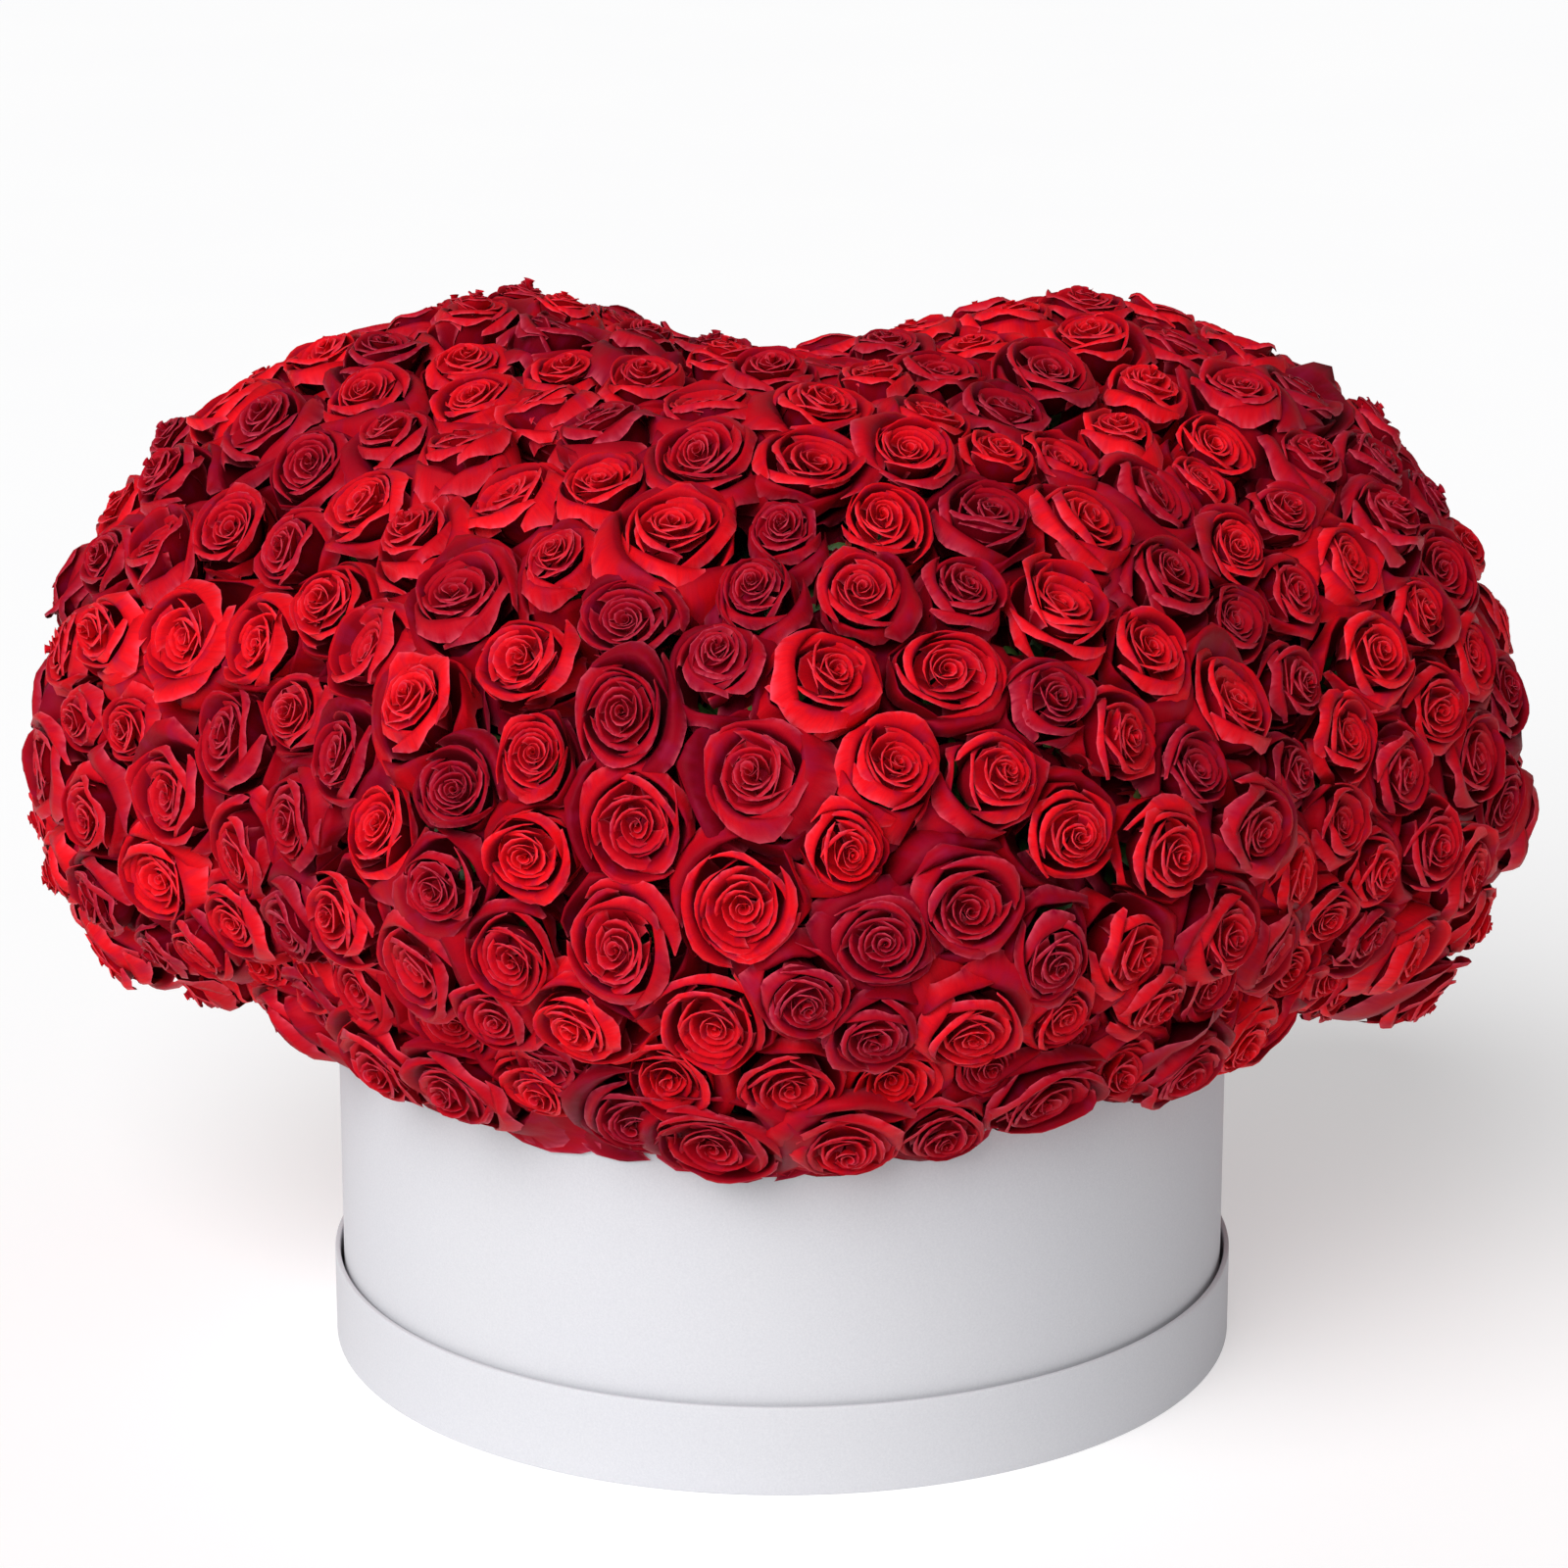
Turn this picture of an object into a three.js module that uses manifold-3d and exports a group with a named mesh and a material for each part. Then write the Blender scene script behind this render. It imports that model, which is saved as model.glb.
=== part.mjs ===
// A heart of red roses in a round white hat box that stands in its upturned lid.
// Millimetres, +Z up. The origin is the middle of the lid's underside, on the table.
// The heart's point is at -Y, its two lobes are at +Y, left and right.

import * as THREE from 'three';
import { ConvexHull } from 'three/addons/math/ConvexHull.js';
import { mergeVertices } from 'three/addons/utils/BufferGeometryUtils.js';
import Module from 'manifold-3d';

const wasm = await Module();
wasm.setup();

// Box and lid: grey board covered with white paper
const BOARD = 3;
const GAP = 0.3;
const HALF_GAP = 0.18;
const ROUND_SIDES = 40;
const LID_RADIUS = 255;
const LID_HEIGHT = 50;
const BOX_RADIUS = 250;
const BOX_TOP = 208;

// Plastic liner that keeps the wet foam off the board
const LINER_WALL = 1.2;
const LINER_TOP = 196;
const LINER_SIDES = 24;

// The heart's surface, on which the blooms' tops lie: two lobes, the point and a collar round the box.
// Each solid is an ellipsoid with its own reach to the side, back, up and down.
const HEART = [
  { x: -151, y: 92, z: 297, outward: 277, inward: 175, deep: 236, up: 266, down: 157 },
  { x: 151, y: 92, z: 297, outward: 277, inward: 175, deep: 236, up: 266, down: 157 },
  { x: 0, y: -75, z: 331, outward: 277, inward: 277, deep: 269, up: 231, down: 193 },
];
const COLLAR = { radius: 235, z: 205, out: 46, up: 38 };
const BLEND = 7;
const HEART_MIDDLE = new THREE.Vector3(0, -20, 300);
const FARTHEST = 800;

// Roses
const ROSES = 414;
const RIM_ROSES = 34;
const RIM_REACH = 273;
const RIM_REACH_RANGE = 7;
const RIM_ANGLE_RANGE = 0.3;
const INNER_REACH = 222;
const SPACING = 54;
const SMALLEST_ROSE = 0.84;
const SIZE_RANGE = 0.36;
const SPREAD_ROUNDS = 160;
const BUNCHES = 35;
const BUNCH_ROUNDS = 40;

// One bloom, from its outer petals in to its heart: share of its room, depth under its top, petals, turn
const OUTER_PETALS = { share: 0.9, depth: 4.5, count: 5, turn: 0 };
const FOLD = { share: 0.6, depth: 11, count: 3, turn: 0.3 };
const INNER_PETALS = { share: 0.46, depth: 0, count: 3, turn: 0.8 };
const BLOOM_HEART_DEPTH = 7;
const PETAL_ANGLE_RANGE = 0.3;
const PETAL_DEPTH_RANGE = 5;
const BLOOM_RADIUS = 33.5;
const VALLEY_DEPTH = 24;
const BUNCH_DEPTH = 55;

// Where the lowest bunches lie over the box's rim: clear of its wall, up over its edge and into the box
const WALL_CLEAR = BOX_RADIUS + 2;
const RIM_MARGIN = 2.5;
const TUCK = 12;
const BACK_RADIUS = 238;
const BACK_RISE = 8;
const BACK_SLOPE = 0.25;

// Foam: how far under the bunches' backs, and its foot in the liner
const FOAM_GAP = 0.9;
const FOAM_RIM_RADIUS = BACK_RADIUS - 5;
const FOAM_RIM_RISE = 2.5;
const FOAM_FOOT_RADIUS = 241.5;

// Stem of each bunch's middle rose, three-sided, in its hole in the foam
const STEM_RADIUS = 3;
const STEM_LENGTH = 70;
const STEM_ROOT = 8;

// A number from 0 to 1 that is always the same for the same two whole numbers
function chance(index, draw) {
  const value = Math.sin(12.9898 * (index + 1) + 78.233 * (draw + 1)) * 43758.5453;
  return value - Math.floor(value);
}

// Above 0 inside the heart, 0 on its surface: the solids' own measures, blended softly
function fullness(point) {
  let sum = 0;
  for (const solid of HEART) {
    const dx = point.x - solid.x;
    const dz = point.z - solid.z;
    const side = dx * solid.x < 0 ? solid.inward : solid.outward;
    const height = dz > 0 ? solid.up : solid.down;
    const reach = Math.hypot(dx / side, (point.y - solid.y) / solid.deep, dz / height);
    sum += Math.exp(BLEND * (1 - reach));
  }
  const across = (Math.hypot(point.x, point.y) - COLLAR.radius) / COLLAR.out;
  const collar = Math.hypot(across, (point.z - COLLAR.z) / COLLAR.up);
  sum += Math.exp(BLEND * (1 - collar));
  return Math.log(sum) / BLEND;
}

// The surface point in the direction of a point, seen from the heart's middle
function ontoHeart(point) {
  const direction = point.clone().sub(HEART_MIDDLE).normalize();
  let near = 0;
  let far = FARTHEST;
  for (let step = 0; step < 26; step += 1) {
    const middle = (near + far) / 2;
    if (fullness(HEART_MIDDLE.clone().addScaledVector(direction, middle)) > 0) {
      near = middle;
    } else {
      far = middle;
    }
  }
  return HEART_MIDDLE.clone().addScaledVector(direction, (near + far) / 2);
}

// Outward direction square to the surface
function squareTo(point) {
  const step = 0.5;
  const slopes = ['x', 'y', 'z'].map((axis) => {
    const ahead = point.clone();
    const behind = point.clone();
    ahead[axis] += step;
    behind[axis] -= step;
    return fullness(behind) - fullness(ahead);
  });
  return new THREE.Vector3(...slopes).normalize();
}

// The way that a stem runs out to a surface point, from half its distance off the heart's axis
function stemDirection(point) {
  return new THREE.Vector3(point.x / 2, point.y / 2, point.z - HEART_MIDDLE.z).normalize();
}

function sunk(point, depth) {
  return point.clone().addScaledVector(stemDirection(point), -depth);
}

// The point on the heart's underside at a distance from the axis
function underHeart(reach, angle) {
  let low = 0;
  let high = COLLAR.z;
  const point = new THREE.Vector3(reach * Math.cos(angle), reach * Math.sin(angle), 0);
  for (let step = 0; step < 26; step += 1) {
    point.z = (low + high) / 2;
    if (fullness(point) > 0) {
      high = point.z;
    } else {
      low = point.z;
    }
  }
  return point;
}

// Points spaced evenly by area along a sunflower spiral of directions, from the top down
function spiralOverHeart(count) {
  const tries = 6000;
  const lowest = -0.72;
  const golden = Math.PI * (3 - Math.sqrt(5));
  const points = [];
  const areas = [];
  let total = 0;
  for (let i = 0; i < tries; i += 1) {
    const rise = 1 - ((1 - lowest) * (i + 0.5)) / tries;
    const flat = Math.sqrt(1 - rise * rise);
    const direction = new THREE.Vector3(flat * Math.cos(golden * i), flat * Math.sin(golden * i), rise);
    const point = ontoHeart(HEART_MIDDLE.clone().add(direction));
    const inBox = Math.hypot(point.x, point.y) < RIM_REACH + SPACING / 2 && point.z < COLLAR.z;
    const slant = Math.max(direction.dot(squareTo(point)), 0.2);
    total += inBox ? 0 : point.distanceToSquared(HEART_MIDDLE) / slant;
    points.push(point);
    areas.push(total);
  }
  const chosen = [];
  let at = 0;
  for (let i = 0; i < count; i += 1) {
    const target = (total * (i + 0.5)) / count;
    while (areas[at] < target) {
      at += 1;
    }
    chosen.push(points[at]);
  }
  return chosen;
}

// Lets points push each other apart over the surface, each by its size. Those in held stay.
function spreadOut(moving, movingSizes, held, heldSizes, spacing) {
  const push = 0.16 * spacing;
  const reach = 1.35 * spacing;
  const all = [...moving, ...held];
  const sizes = [...movingSizes, ...heldSizes];
  for (let round = 0; round < SPREAD_ROUNDS; round += 1) {
    const moved = moving.map((point, i) => {
      const shift = new THREE.Vector3();
      for (let j = 0; j < all.length; j += 1) {
        const wanted = (reach * (sizes[i] + sizes[j])) / 2;
        const apart = point.distanceTo(all[j]);
        if (j !== i && apart < wanted) {
          const near = 1 - apart / wanted;
          shift.addScaledVector(point.clone().sub(all[j]), (push * near * near) / apart);
        }
      }
      return ontoHeart(point.clone().add(shift));
    });
    for (let i = 0; i < moving.length; i += 1) {
      moving[i] = moved[i];
      all[i] = moved[i];
    }
  }
  return moving;
}

// Places and sizes of the roses: a row over the box's rim, then the rest of the heart
function placeRoses() {
  const rim = [];
  const inner = [];
  for (let i = 0; i < RIM_ROSES; i += 1) {
    const turn = (2 * Math.PI) / RIM_ROSES;
    const nudge = RIM_ANGLE_RANGE * (chance(i, 7) - 0.5);
    const shift = RIM_REACH_RANGE * (chance(i, 8) - 0.5);
    rim.push(underHeart(RIM_REACH + shift, turn * (i + nudge)));
    inner.push(underHeart(INNER_REACH, turn * (i + 0.5)));
  }
  const sizes = [];
  for (let i = 0; i < ROSES; i += 1) {
    sizes.push(SMALLEST_ROSE + SIZE_RANGE * chance(i, 0));
  }
  const free = ROSES - RIM_ROSES;
  const heldSizes = [...sizes.slice(free), ...inner.map(() => 1)];
  const start = spiralOverHeart(free);
  const spread = spreadOut(start, sizes.slice(0, free), [...rim, ...inner], heldSizes, SPACING);
  return { places: [...spread, ...rim], sizes, inner };
}

// Turns each edge of a net that has a shorter way between its two triangles, until none is left
function turnEdges(triangles, points) {
  const angleAt = (tip, a, b) => points[a].clone().sub(points[tip]).angleTo(points[b].clone().sub(points[tip]));
  let turned = true;
  for (let round = 0; turned && round < 30; round += 1) {
    turned = false;
    const owner = new Map();
    const busy = new Set();
    triangles.forEach((triangle, t) => {
      for (let k = 0; k < 3; k += 1) {
        owner.set(`${triangle[k]},${triangle[(k + 1) % 3]}`, [t, triangle[(k + 2) % 3]]);
      }
    });
    for (const [key, [one, tipOne]] of owner) {
      const [a, b] = key.split(',').map(Number);
      const [other, tipOther] = owner.get(`${b},${a}`) ?? [one, tipOne];
      if (a < b && !busy.has(one) && !busy.has(other) && !owner.has(`${tipOne},${tipOther}`)) {
        if (one !== other && angleAt(tipOne, a, b) + angleAt(tipOther, a, b) > Math.PI + 0.01) {
          triangles[one] = [tipOne, a, tipOther];
          triangles[other] = [tipOther, b, tipOne];
          busy.add(one).add(other);
          turned = true;
        }
      }
    }
  }
  return triangles;
}

// Triangles between neighbouring roses, from the hull of their directions
function netOver(points) {
  const directions = points.map((point) => point.clone().sub(HEART_MIDDLE).normalize());
  const hull = new ConvexHull().setFromPoints(directions);
  const number = new Map(directions.map((direction, i) => [direction, i]));
  const triangles = hull.faces.map((face) => {
    const corners = [];
    let edge = face.edge;
    do {
      corners.push(number.get(edge.head().point));
      edge = edge.next;
    } while (edge !== face.edge);
    return corners;
  });
  return turnEdges(triangles, points);
}

// The point between three roses where their petals meet, nearer to the smaller ones
function meetingPoint(triangle, places, sizes) {
  const sum = new THREE.Vector3();
  let weights = 0;
  for (const i of triangle) {
    sum.addScaledVector(places[i], 1 / sizes[i]);
    weights += 1 / sizes[i];
  }
  return ontoHeart(sum.divideScalar(weights));
}

// Each rose's room: its corners in order, counter-clockwise from outside, and who is across each edge
function roomsOf(triangles, count) {
  const next = Array.from({ length: count }, () => new Map());
  triangles.forEach((triangle, t) => {
    for (let k = 0; k < 3; k += 1) {
      if (triangle[k] < count) {
        next[triangle[k]].set(triangle[(k + 1) % 3], { corner: t, to: triangle[(k + 2) % 3] });
      }
    }
  });
  return next.map((around) => {
    const corners = [];
    const across = [];
    const first = around.keys().next().value;
    let neighbour = first;
    do {
      const step = around.get(neighbour);
      corners.push(step.corner);
      across.push(step.to);
      neighbour = step.to;
    } while (neighbour !== first);
    return { corners, across };
  });
}

// A flat frame across an outward direction, turned by an angle
function flatFrame(out, turn) {
  const level = Math.abs(out.z) > 0.9 ? new THREE.Vector3(1, 0, 0) : new THREE.Vector3(0, 0, 1);
  const right = level.cross(out).normalize().applyAxisAngle(out, turn);
  return { out, right, up: out.clone().cross(right) };
}

// Places of a point in a frame
function inFrame(frame, origin, point) {
  const offset = point.clone().sub(origin);
  return [offset.dot(frame.right), offset.dot(frame.up)];
}

// A point moved out of the box's wall if it lies beside it
function clearOfWall(point) {
  const radius = Math.hypot(point.x, point.y);
  const clear = WALL_CLEAR + RIM_MARGIN;
  if (point.z < BOX_TOP + TUCK && radius < clear) {
    point.x *= clear / radius;
    point.y *= clear / radius;
  }
  return point;
}

// How far an outline reaches from its middle at an angle
function reachOf(outline, angle) {
  const along = [Math.cos(angle), Math.sin(angle)];
  let best = Infinity;
  for (let k = 0; k < outline.length; k += 1) {
    const [ax, ay] = outline[k];
    const [bx, by] = outline[(k + 1) % outline.length];
    const cross = along[0] * (by - ay) - along[1] * (bx - ax);
    const distance = (ax * (by - ay) - ay * (bx - ax)) / cross;
    const share = (ax * along[1] - ay * along[0]) / cross;
    if (distance > 0 && share >= -1e-6 && share <= 1 + 1e-6) {
      best = Math.min(best, distance);
    }
  }
  return best;
}

// One petal ring of a bloom: points on the surface within its room, sunk by the ring's depth
function petalRing(ring, rose, place, frame, outline) {
  const points = [];
  for (let k = 0; k < ring.count; k += 1) {
    const unevenness = chance(rose, 11 + k + 10 * ring.count);
    const angle = (2 * Math.PI * (k + ring.turn + PETAL_ANGLE_RANGE * (unevenness - 0.5))) / ring.count;
    const reach = ring.share * Math.min(reachOf(outline, angle), BLOOM_RADIUS);
    const depth = ring.depth + PETAL_DEPTH_RANGE * (chance(rose, 31 + k + 10 * ring.count) - 0.5);
    const point = place.clone();
    point.addScaledVector(frame.right, reach * Math.cos(angle));
    point.addScaledVector(frame.up, reach * Math.sin(angle));
    points.push({ at: clearOfWall(sunk(ontoHeart(point), Math.max(depth, 0))), angle });
  }
  return points;
}

// A mesh that is put together from points and triangles
class Net {
  constructor() {
    this.points = [];
    this.faces = [];
  }

  add(point) {
    this.points.push(point);
    return this.points.length - 1;
  }

  // Triangles between an outer and an inner ring, each a list of { id, angle } in order of angle
  stitch(outer, inner) {
    const full = 2 * Math.PI;
    const wrap = (angle) => ((angle % full) + full) % full;
    const outerRing = [...outer].sort((a, b) => wrap(a.angle) - wrap(b.angle));
    const innerRing = [...inner].sort((a, b) => wrap(a.angle) - wrap(b.angle));
    const angleOf = (ring, k) => wrap(ring[k % ring.length].angle) + full * Math.floor(k / ring.length);
    let o = 0;
    let i = 0;
    while (o < outerRing.length || i < innerRing.length) {
      const fromOuter = outerRing[o % outerRing.length].id;
      const fromInner = innerRing[i % innerRing.length].id;
      const outerNext = i >= innerRing.length || angleOf(outerRing, o + 1) < angleOf(innerRing, i + 1);
      if (o < outerRing.length && outerNext) {
        this.faces.push([fromOuter, outerRing[(o + 1) % outerRing.length].id, fromInner]);
        o += 1;
      } else {
        this.faces.push([fromOuter, innerRing[(i + 1) % innerRing.length].id, fromInner]);
        i += 1;
      }
    }
  }

  // Moves every point inwards, square to the faces round it by their angles there
  drawIn(distance) {
    const out = this.points.map(() => new THREE.Vector3());
    this.faces.forEach((face) => {
      const [a, b, c] = face.map((id) => this.points[id]);
      const square = b.clone().sub(a).cross(c.clone().sub(a)).normalize();
      face.forEach((id, k) => {
        const [tip, one, other] = [0, 1, 2].map((step) => this.points[face[(k + step) % 3]]);
        out[id].addScaledVector(square, one.clone().sub(tip).angleTo(other.clone().sub(tip)));
      });
    });
    this.points = this.points.map((point, id) => {
      return point.clone().addScaledVector(out[id].normalize(), -distance);
    });
  }

  solid() {
    const mesh = new wasm.Mesh({
      numProp: 3,
      vertProperties: new Float32Array(this.points.flatMap((point) => point.toArray())),
      triVerts: new Uint32Array(this.faces.flat()),
    });
    return new wasm.Manifold(mesh);
  }
}

// A solid of manifold-3d as a three.js geometry. Only its largest body stays: a cut can leave crumbs.
function geometryOf(solid) {
  const { numProp, vertProperties, triVerts } = solid.getMesh();
  const parent = Array.from({ length: vertProperties.length / numProp }, (_, i) => i);
  const root = (i) => {
    let at = i;
    while (parent[at] !== at) {
      at = parent[at];
    }
    return at;
  };
  for (let t = 0; t < triVerts.length; t += 3) {
    parent[root(triVerts[t])] = root(triVerts[t + 1]);
    parent[root(triVerts[t + 1])] = root(triVerts[t + 2]);
  }
  const sizes = new Map();
  for (let t = 0; t < triVerts.length; t += 3) {
    const body = root(triVerts[t]);
    sizes.set(body, (sizes.get(body) ?? 0) + 1);
  }
  const largest = [...sizes].sort((a, b) => b[1] - a[1])[0][0];
  const positions = [];
  for (let t = 0; t < triVerts.length; t += 3) {
    if (root(triVerts[t]) === largest) {
      for (let k = 0; k < 3; k += 1) {
        const start = numProp * triVerts[t + k];
        positions.push(...vertProperties.slice(start, start + 3));
      }
    }
  }
  const geometry = new THREE.BufferGeometry();
  geometry.setAttribute('position', new THREE.Float32BufferAttribute(positions, 3));
  return mergeVertices(geometry, 1e-4);
}

// A three.js geometry as a solid of manifold-3d
function solidOf(geometry) {
  const bare = geometry.clone();
  bare.deleteAttribute('normal');
  bare.deleteAttribute('uv');
  const merged = mergeVertices(bare, 1e-4);
  const mesh = new wasm.Mesh({
    numProp: 3,
    vertProperties: new Float32Array(merged.attributes.position.array),
    triVerts: new Uint32Array(merged.index.array),
  });
  return new wasm.Manifold(mesh);
}

// A round body about the Z axis from a profile of [radius, z] points
function turned(profile, sides) {
  const points = profile.map(([radius, z]) => new THREE.Vector2(radius, z));
  return new THREE.LatheGeometry(points, sides).rotateX(Math.PI / 2);
}

function disc(radius, bottom, top, sides = ROUND_SIDES) {
  return turned([[0, bottom], [radius, bottom], [radius, top], [0, top]], sides);
}

function ring(inside, outside, bottom, top, sides = ROUND_SIDES) {
  return turned([[inside, bottom], [outside, bottom], [outside, top], [inside, top], [inside, bottom]], sides);
}

const part = new THREE.Group();

function addPiece(name, geometry, colour, roughness) {
  const material = new THREE.MeshStandardMaterial({ color: colour, roughness, metalness: 0 });
  const mesh = new THREE.Mesh(geometry, material);
  mesh.name = name;
  part.add(mesh);
}

// The lid lies upside down under the box and holds its foot like a tray
const WHITE = 0xe9e9ee;
addPiece('lid_panel', disc(LID_RADIUS - BOARD - GAP, 0, BOARD), WHITE, 0.75);
addPiece('lid_rim', ring(LID_RADIUS - BOARD, LID_RADIUS, 0, LID_HEIGHT), WHITE, 0.75);

// The box stands on the lid's panel
const wallInside = BOX_RADIUS - BOARD;
const floorTop = 2 * BOARD;
addPiece('box_base', disc(wallInside - GAP, BOARD, floorTop), WHITE, 0.75);
addPiece('box_wall', ring(wallInside, BOX_RADIUS, BOARD, BOX_TOP), WHITE, 0.75);

// Liner: a thin cup on the box's floor. Its corners stay clear of the wall's flats.
const linerOutside = wallInside * Math.cos(Math.PI / ROUND_SIDES) - GAP;
const linerInside = linerOutside - LINER_WALL;
const linerProfile = [
  [0, floorTop],
  [linerOutside, floorTop],
  [linerOutside, LINER_TOP],
  [linerInside, LINER_TOP],
  [linerInside, floorTop + LINER_WALL],
  [0, floorTop + LINER_WALL],
];
addPiece('liner', turned(linerProfile, LINER_SIDES), 0xc9cdd0, 0.35);

// The roses and the net between them
const { places, sizes, inner } = placeRoses();
const under = [new THREE.Vector3(0, HEART_MIDDLE.y, 0)];
const allPlaces = [...places, ...inner, ...under];
const allSizes = [...sizes, ...inner.map(() => 1), 1];
const triangles = netOver(allPlaces);
const rooms = roomsOf(triangles, ROSES);

// Bunches: each rose belongs to the nearest bunch middle, which moves to the middle of its roses
let middles = spiralOverHeart(BUNCHES);
let bunchOf = [];
function membersOf(bunch) {
  return places.map((_, i) => i).filter((i) => bunchOf[i] === bunch);
}

// The middle of several roses' places
function middleOf(roses) {
  return roses.reduce((sum, i) => sum.add(places[i]), new THREE.Vector3()).divideScalar(roses.length);
}

for (let round = 0; round < BUNCH_ROUNDS; round += 1) {
  bunchOf = allPlaces.map((place, i) => {
    const distances = middles.map((middle) => middle.distanceTo(place));
    return i < ROSES ? distances.indexOf(Math.min(...distances)) : -1;
  });
  middles = middles.map((_, bunch) => middleOf(membersOf(bunch)));
}

// A corner of the net as a place in the bunches: valley top and bunch back.
// Corners of the lowest row lie against the box's wall and have a shoulder over its rim.
function atAngle(radius, angle, z) {
  return new THREE.Vector3(radius * Math.cos(angle), radius * Math.sin(angle), z);
}

function aboveRim(point) {
  const beyond = Math.hypot(point.x, point.y) - BACK_RADIUS;
  point.z = Math.max(point.z, BOX_TOP + BACK_RISE - BACK_SLOPE * beyond);
  return point;
}

// Raises a back so that the straight way to it from its valley passes over the rim
function overRim(top, back) {
  const outside = Math.hypot(top.x, top.y);
  const inside = Math.hypot(back.x, back.y);
  const edge = WALL_CLEAR + RIM_MARGIN / 2;
  if (top.z < BOX_TOP && inside < edge) {
    const climb = (BOX_TOP + RIM_MARGIN / 2 - top.z) / Math.max(outside - edge, RIM_MARGIN);
    back.z = Math.max(back.z, top.z + climb * (outside - inside));
  }
  return back;
}

const corners = triangles.map((triangle) => {
  const middle = meetingPoint(triangle, allPlaces, allSizes);
  if (triangle.every((i) => i < ROSES)) {
    const top = clearOfWall(sunk(middle, VALLEY_DEPTH));
    return { surface: middle, top, back: overRim(top, aboveRim(sunk(middle, BUNCH_DEPTH))) };
  }
  const angle = Math.atan2(middle.y, middle.x);
  const surface = underHeart(WALL_CLEAR, angle);
  return {
    surface,
    top: atAngle(WALL_CLEAR, angle, surface.z + TUCK),
    shoulder: atAngle(WALL_CLEAR, angle, BOX_TOP + 2 * GAP),
    back: atAngle(BACK_RADIUS, angle, BOX_TOP + BACK_RISE),
  };
});

// A bunch's own copy of a corner's point: where it meets other bunches it draws back from their roses
function drawnBack(corner, level, bunch) {
  const point = corners[corner][level].clone();
  const roses = triangles[corner].filter((i) => i < ROSES);
  const own = roses.filter((i) => bunchOf[i] === bunch);
  const others = roses.filter((i) => bunchOf[i] !== bunch);
  if (others.length === 0) {
    return point;
  }
  return point.addScaledVector(middleOf(own).sub(middleOf(others)).normalize(), HALF_GAP);
}

// The bunch's border edges as one closed chain of corners, counter-clockwise from outside
function borderOf(bunch) {
  const nextCorner = new Map();
  rooms.forEach((room, i) => {
    if (bunchOf[i] === bunch) {
      room.across.forEach((neighbour, k) => {
        if (bunchOf[neighbour] !== bunch) {
          nextCorner.set(room.corners[k], room.corners[(k + 1) % room.corners.length]);
        }
      });
    }
  });
  const chain = [nextCorner.keys().next().value];
  while (nextCorner.get(chain.at(-1)) !== chain[0]) {
    chain.push(nextCorner.get(chain.at(-1)));
  }
  return chain;
}

// Triangles that close a chain of corners, as places in the chain, counter-clockwise from outside
function closeChain(chain, members) {
  const out = members.reduce((sum, rose) => sum.add(squareTo(places[rose])), new THREE.Vector3());
  const frame = flatFrame(out.normalize(), 0);
  const outline = chain.map((corner) => {
    const [x, y] = inFrame(frame, places[members[0]], corners[corner].back);
    return new THREE.Vector2(x, y);
  });
  const filled = THREE.ShapeUtils.triangulateShape(outline, []).map(([a, b, c]) => {
    const area = outline[b].clone().sub(outline[a]).cross(outline[c].clone().sub(outline[a]));
    return area > 0 ? [a, b, c] : [a, c, b];
  });
  return turnEdges(filled, chain.map((corner) => corners[corner].back));
}

// One bloom on a bunch: valley, outer petals, fold, inner petals and the hollow heart
function addBloom(net, rose, cornerIds) {
  const place = places[rose];
  const frame = flatFrame(squareTo(place), 2 * Math.PI * chance(rose, 1));
  const room = rooms[rose];
  const outline = room.corners.map((corner) => inFrame(frame, place, corners[corner].surface));
  const valley = room.corners.map((corner, k) => ({
    id: cornerIds.get(corner),
    angle: Math.atan2(outline[k][1], outline[k][0]),
  }));
  let outside = valley;
  for (const ringForm of [OUTER_PETALS, FOLD, INNER_PETALS]) {
    const petals = petalRing(ringForm, rose, place, frame, outline).map(({ at, angle }) => ({
      id: net.add(at),
      angle,
    }));
    net.stitch(outside, petals);
    outside = petals;
  }
  const heart = net.add(sunk(place, BLOOM_HEART_DEPTH));
  outside.forEach((petal, k) => {
    net.faces.push([petal.id, outside[(k + 1) % outside.length].id, heart]);
  });
}

// Whether a stem from a surface point into the foam passes clear of the box's rim
function stemIsClear(place) {
  for (let depth = VALLEY_DEPTH; depth < BUNCH_DEPTH + STEM_LENGTH; depth += STEM_RADIUS) {
    const point = sunk(place, depth);
    if (point.z < BOX_TOP + TUCK && Math.hypot(point.x, point.y) < WALL_CLEAR + TUCK) {
      return false;
    }
  }
  return true;
}

// A three-sided stem along the way from a surface point into the foam
function stemAt(place, radius, length) {
  const stem = new THREE.CylinderGeometry(radius, radius, length, 3, 1);
  const into = stemDirection(place);
  stem.applyQuaternion(new THREE.Quaternion().setFromUnitVectors(new THREE.Vector3(0, 1, 0), into));
  const middle = sunk(place, BUNCH_DEPTH + length / 2 - STEM_ROOT);
  return solidOf(stem.translate(middle.x, middle.y, middle.z));
}

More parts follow.
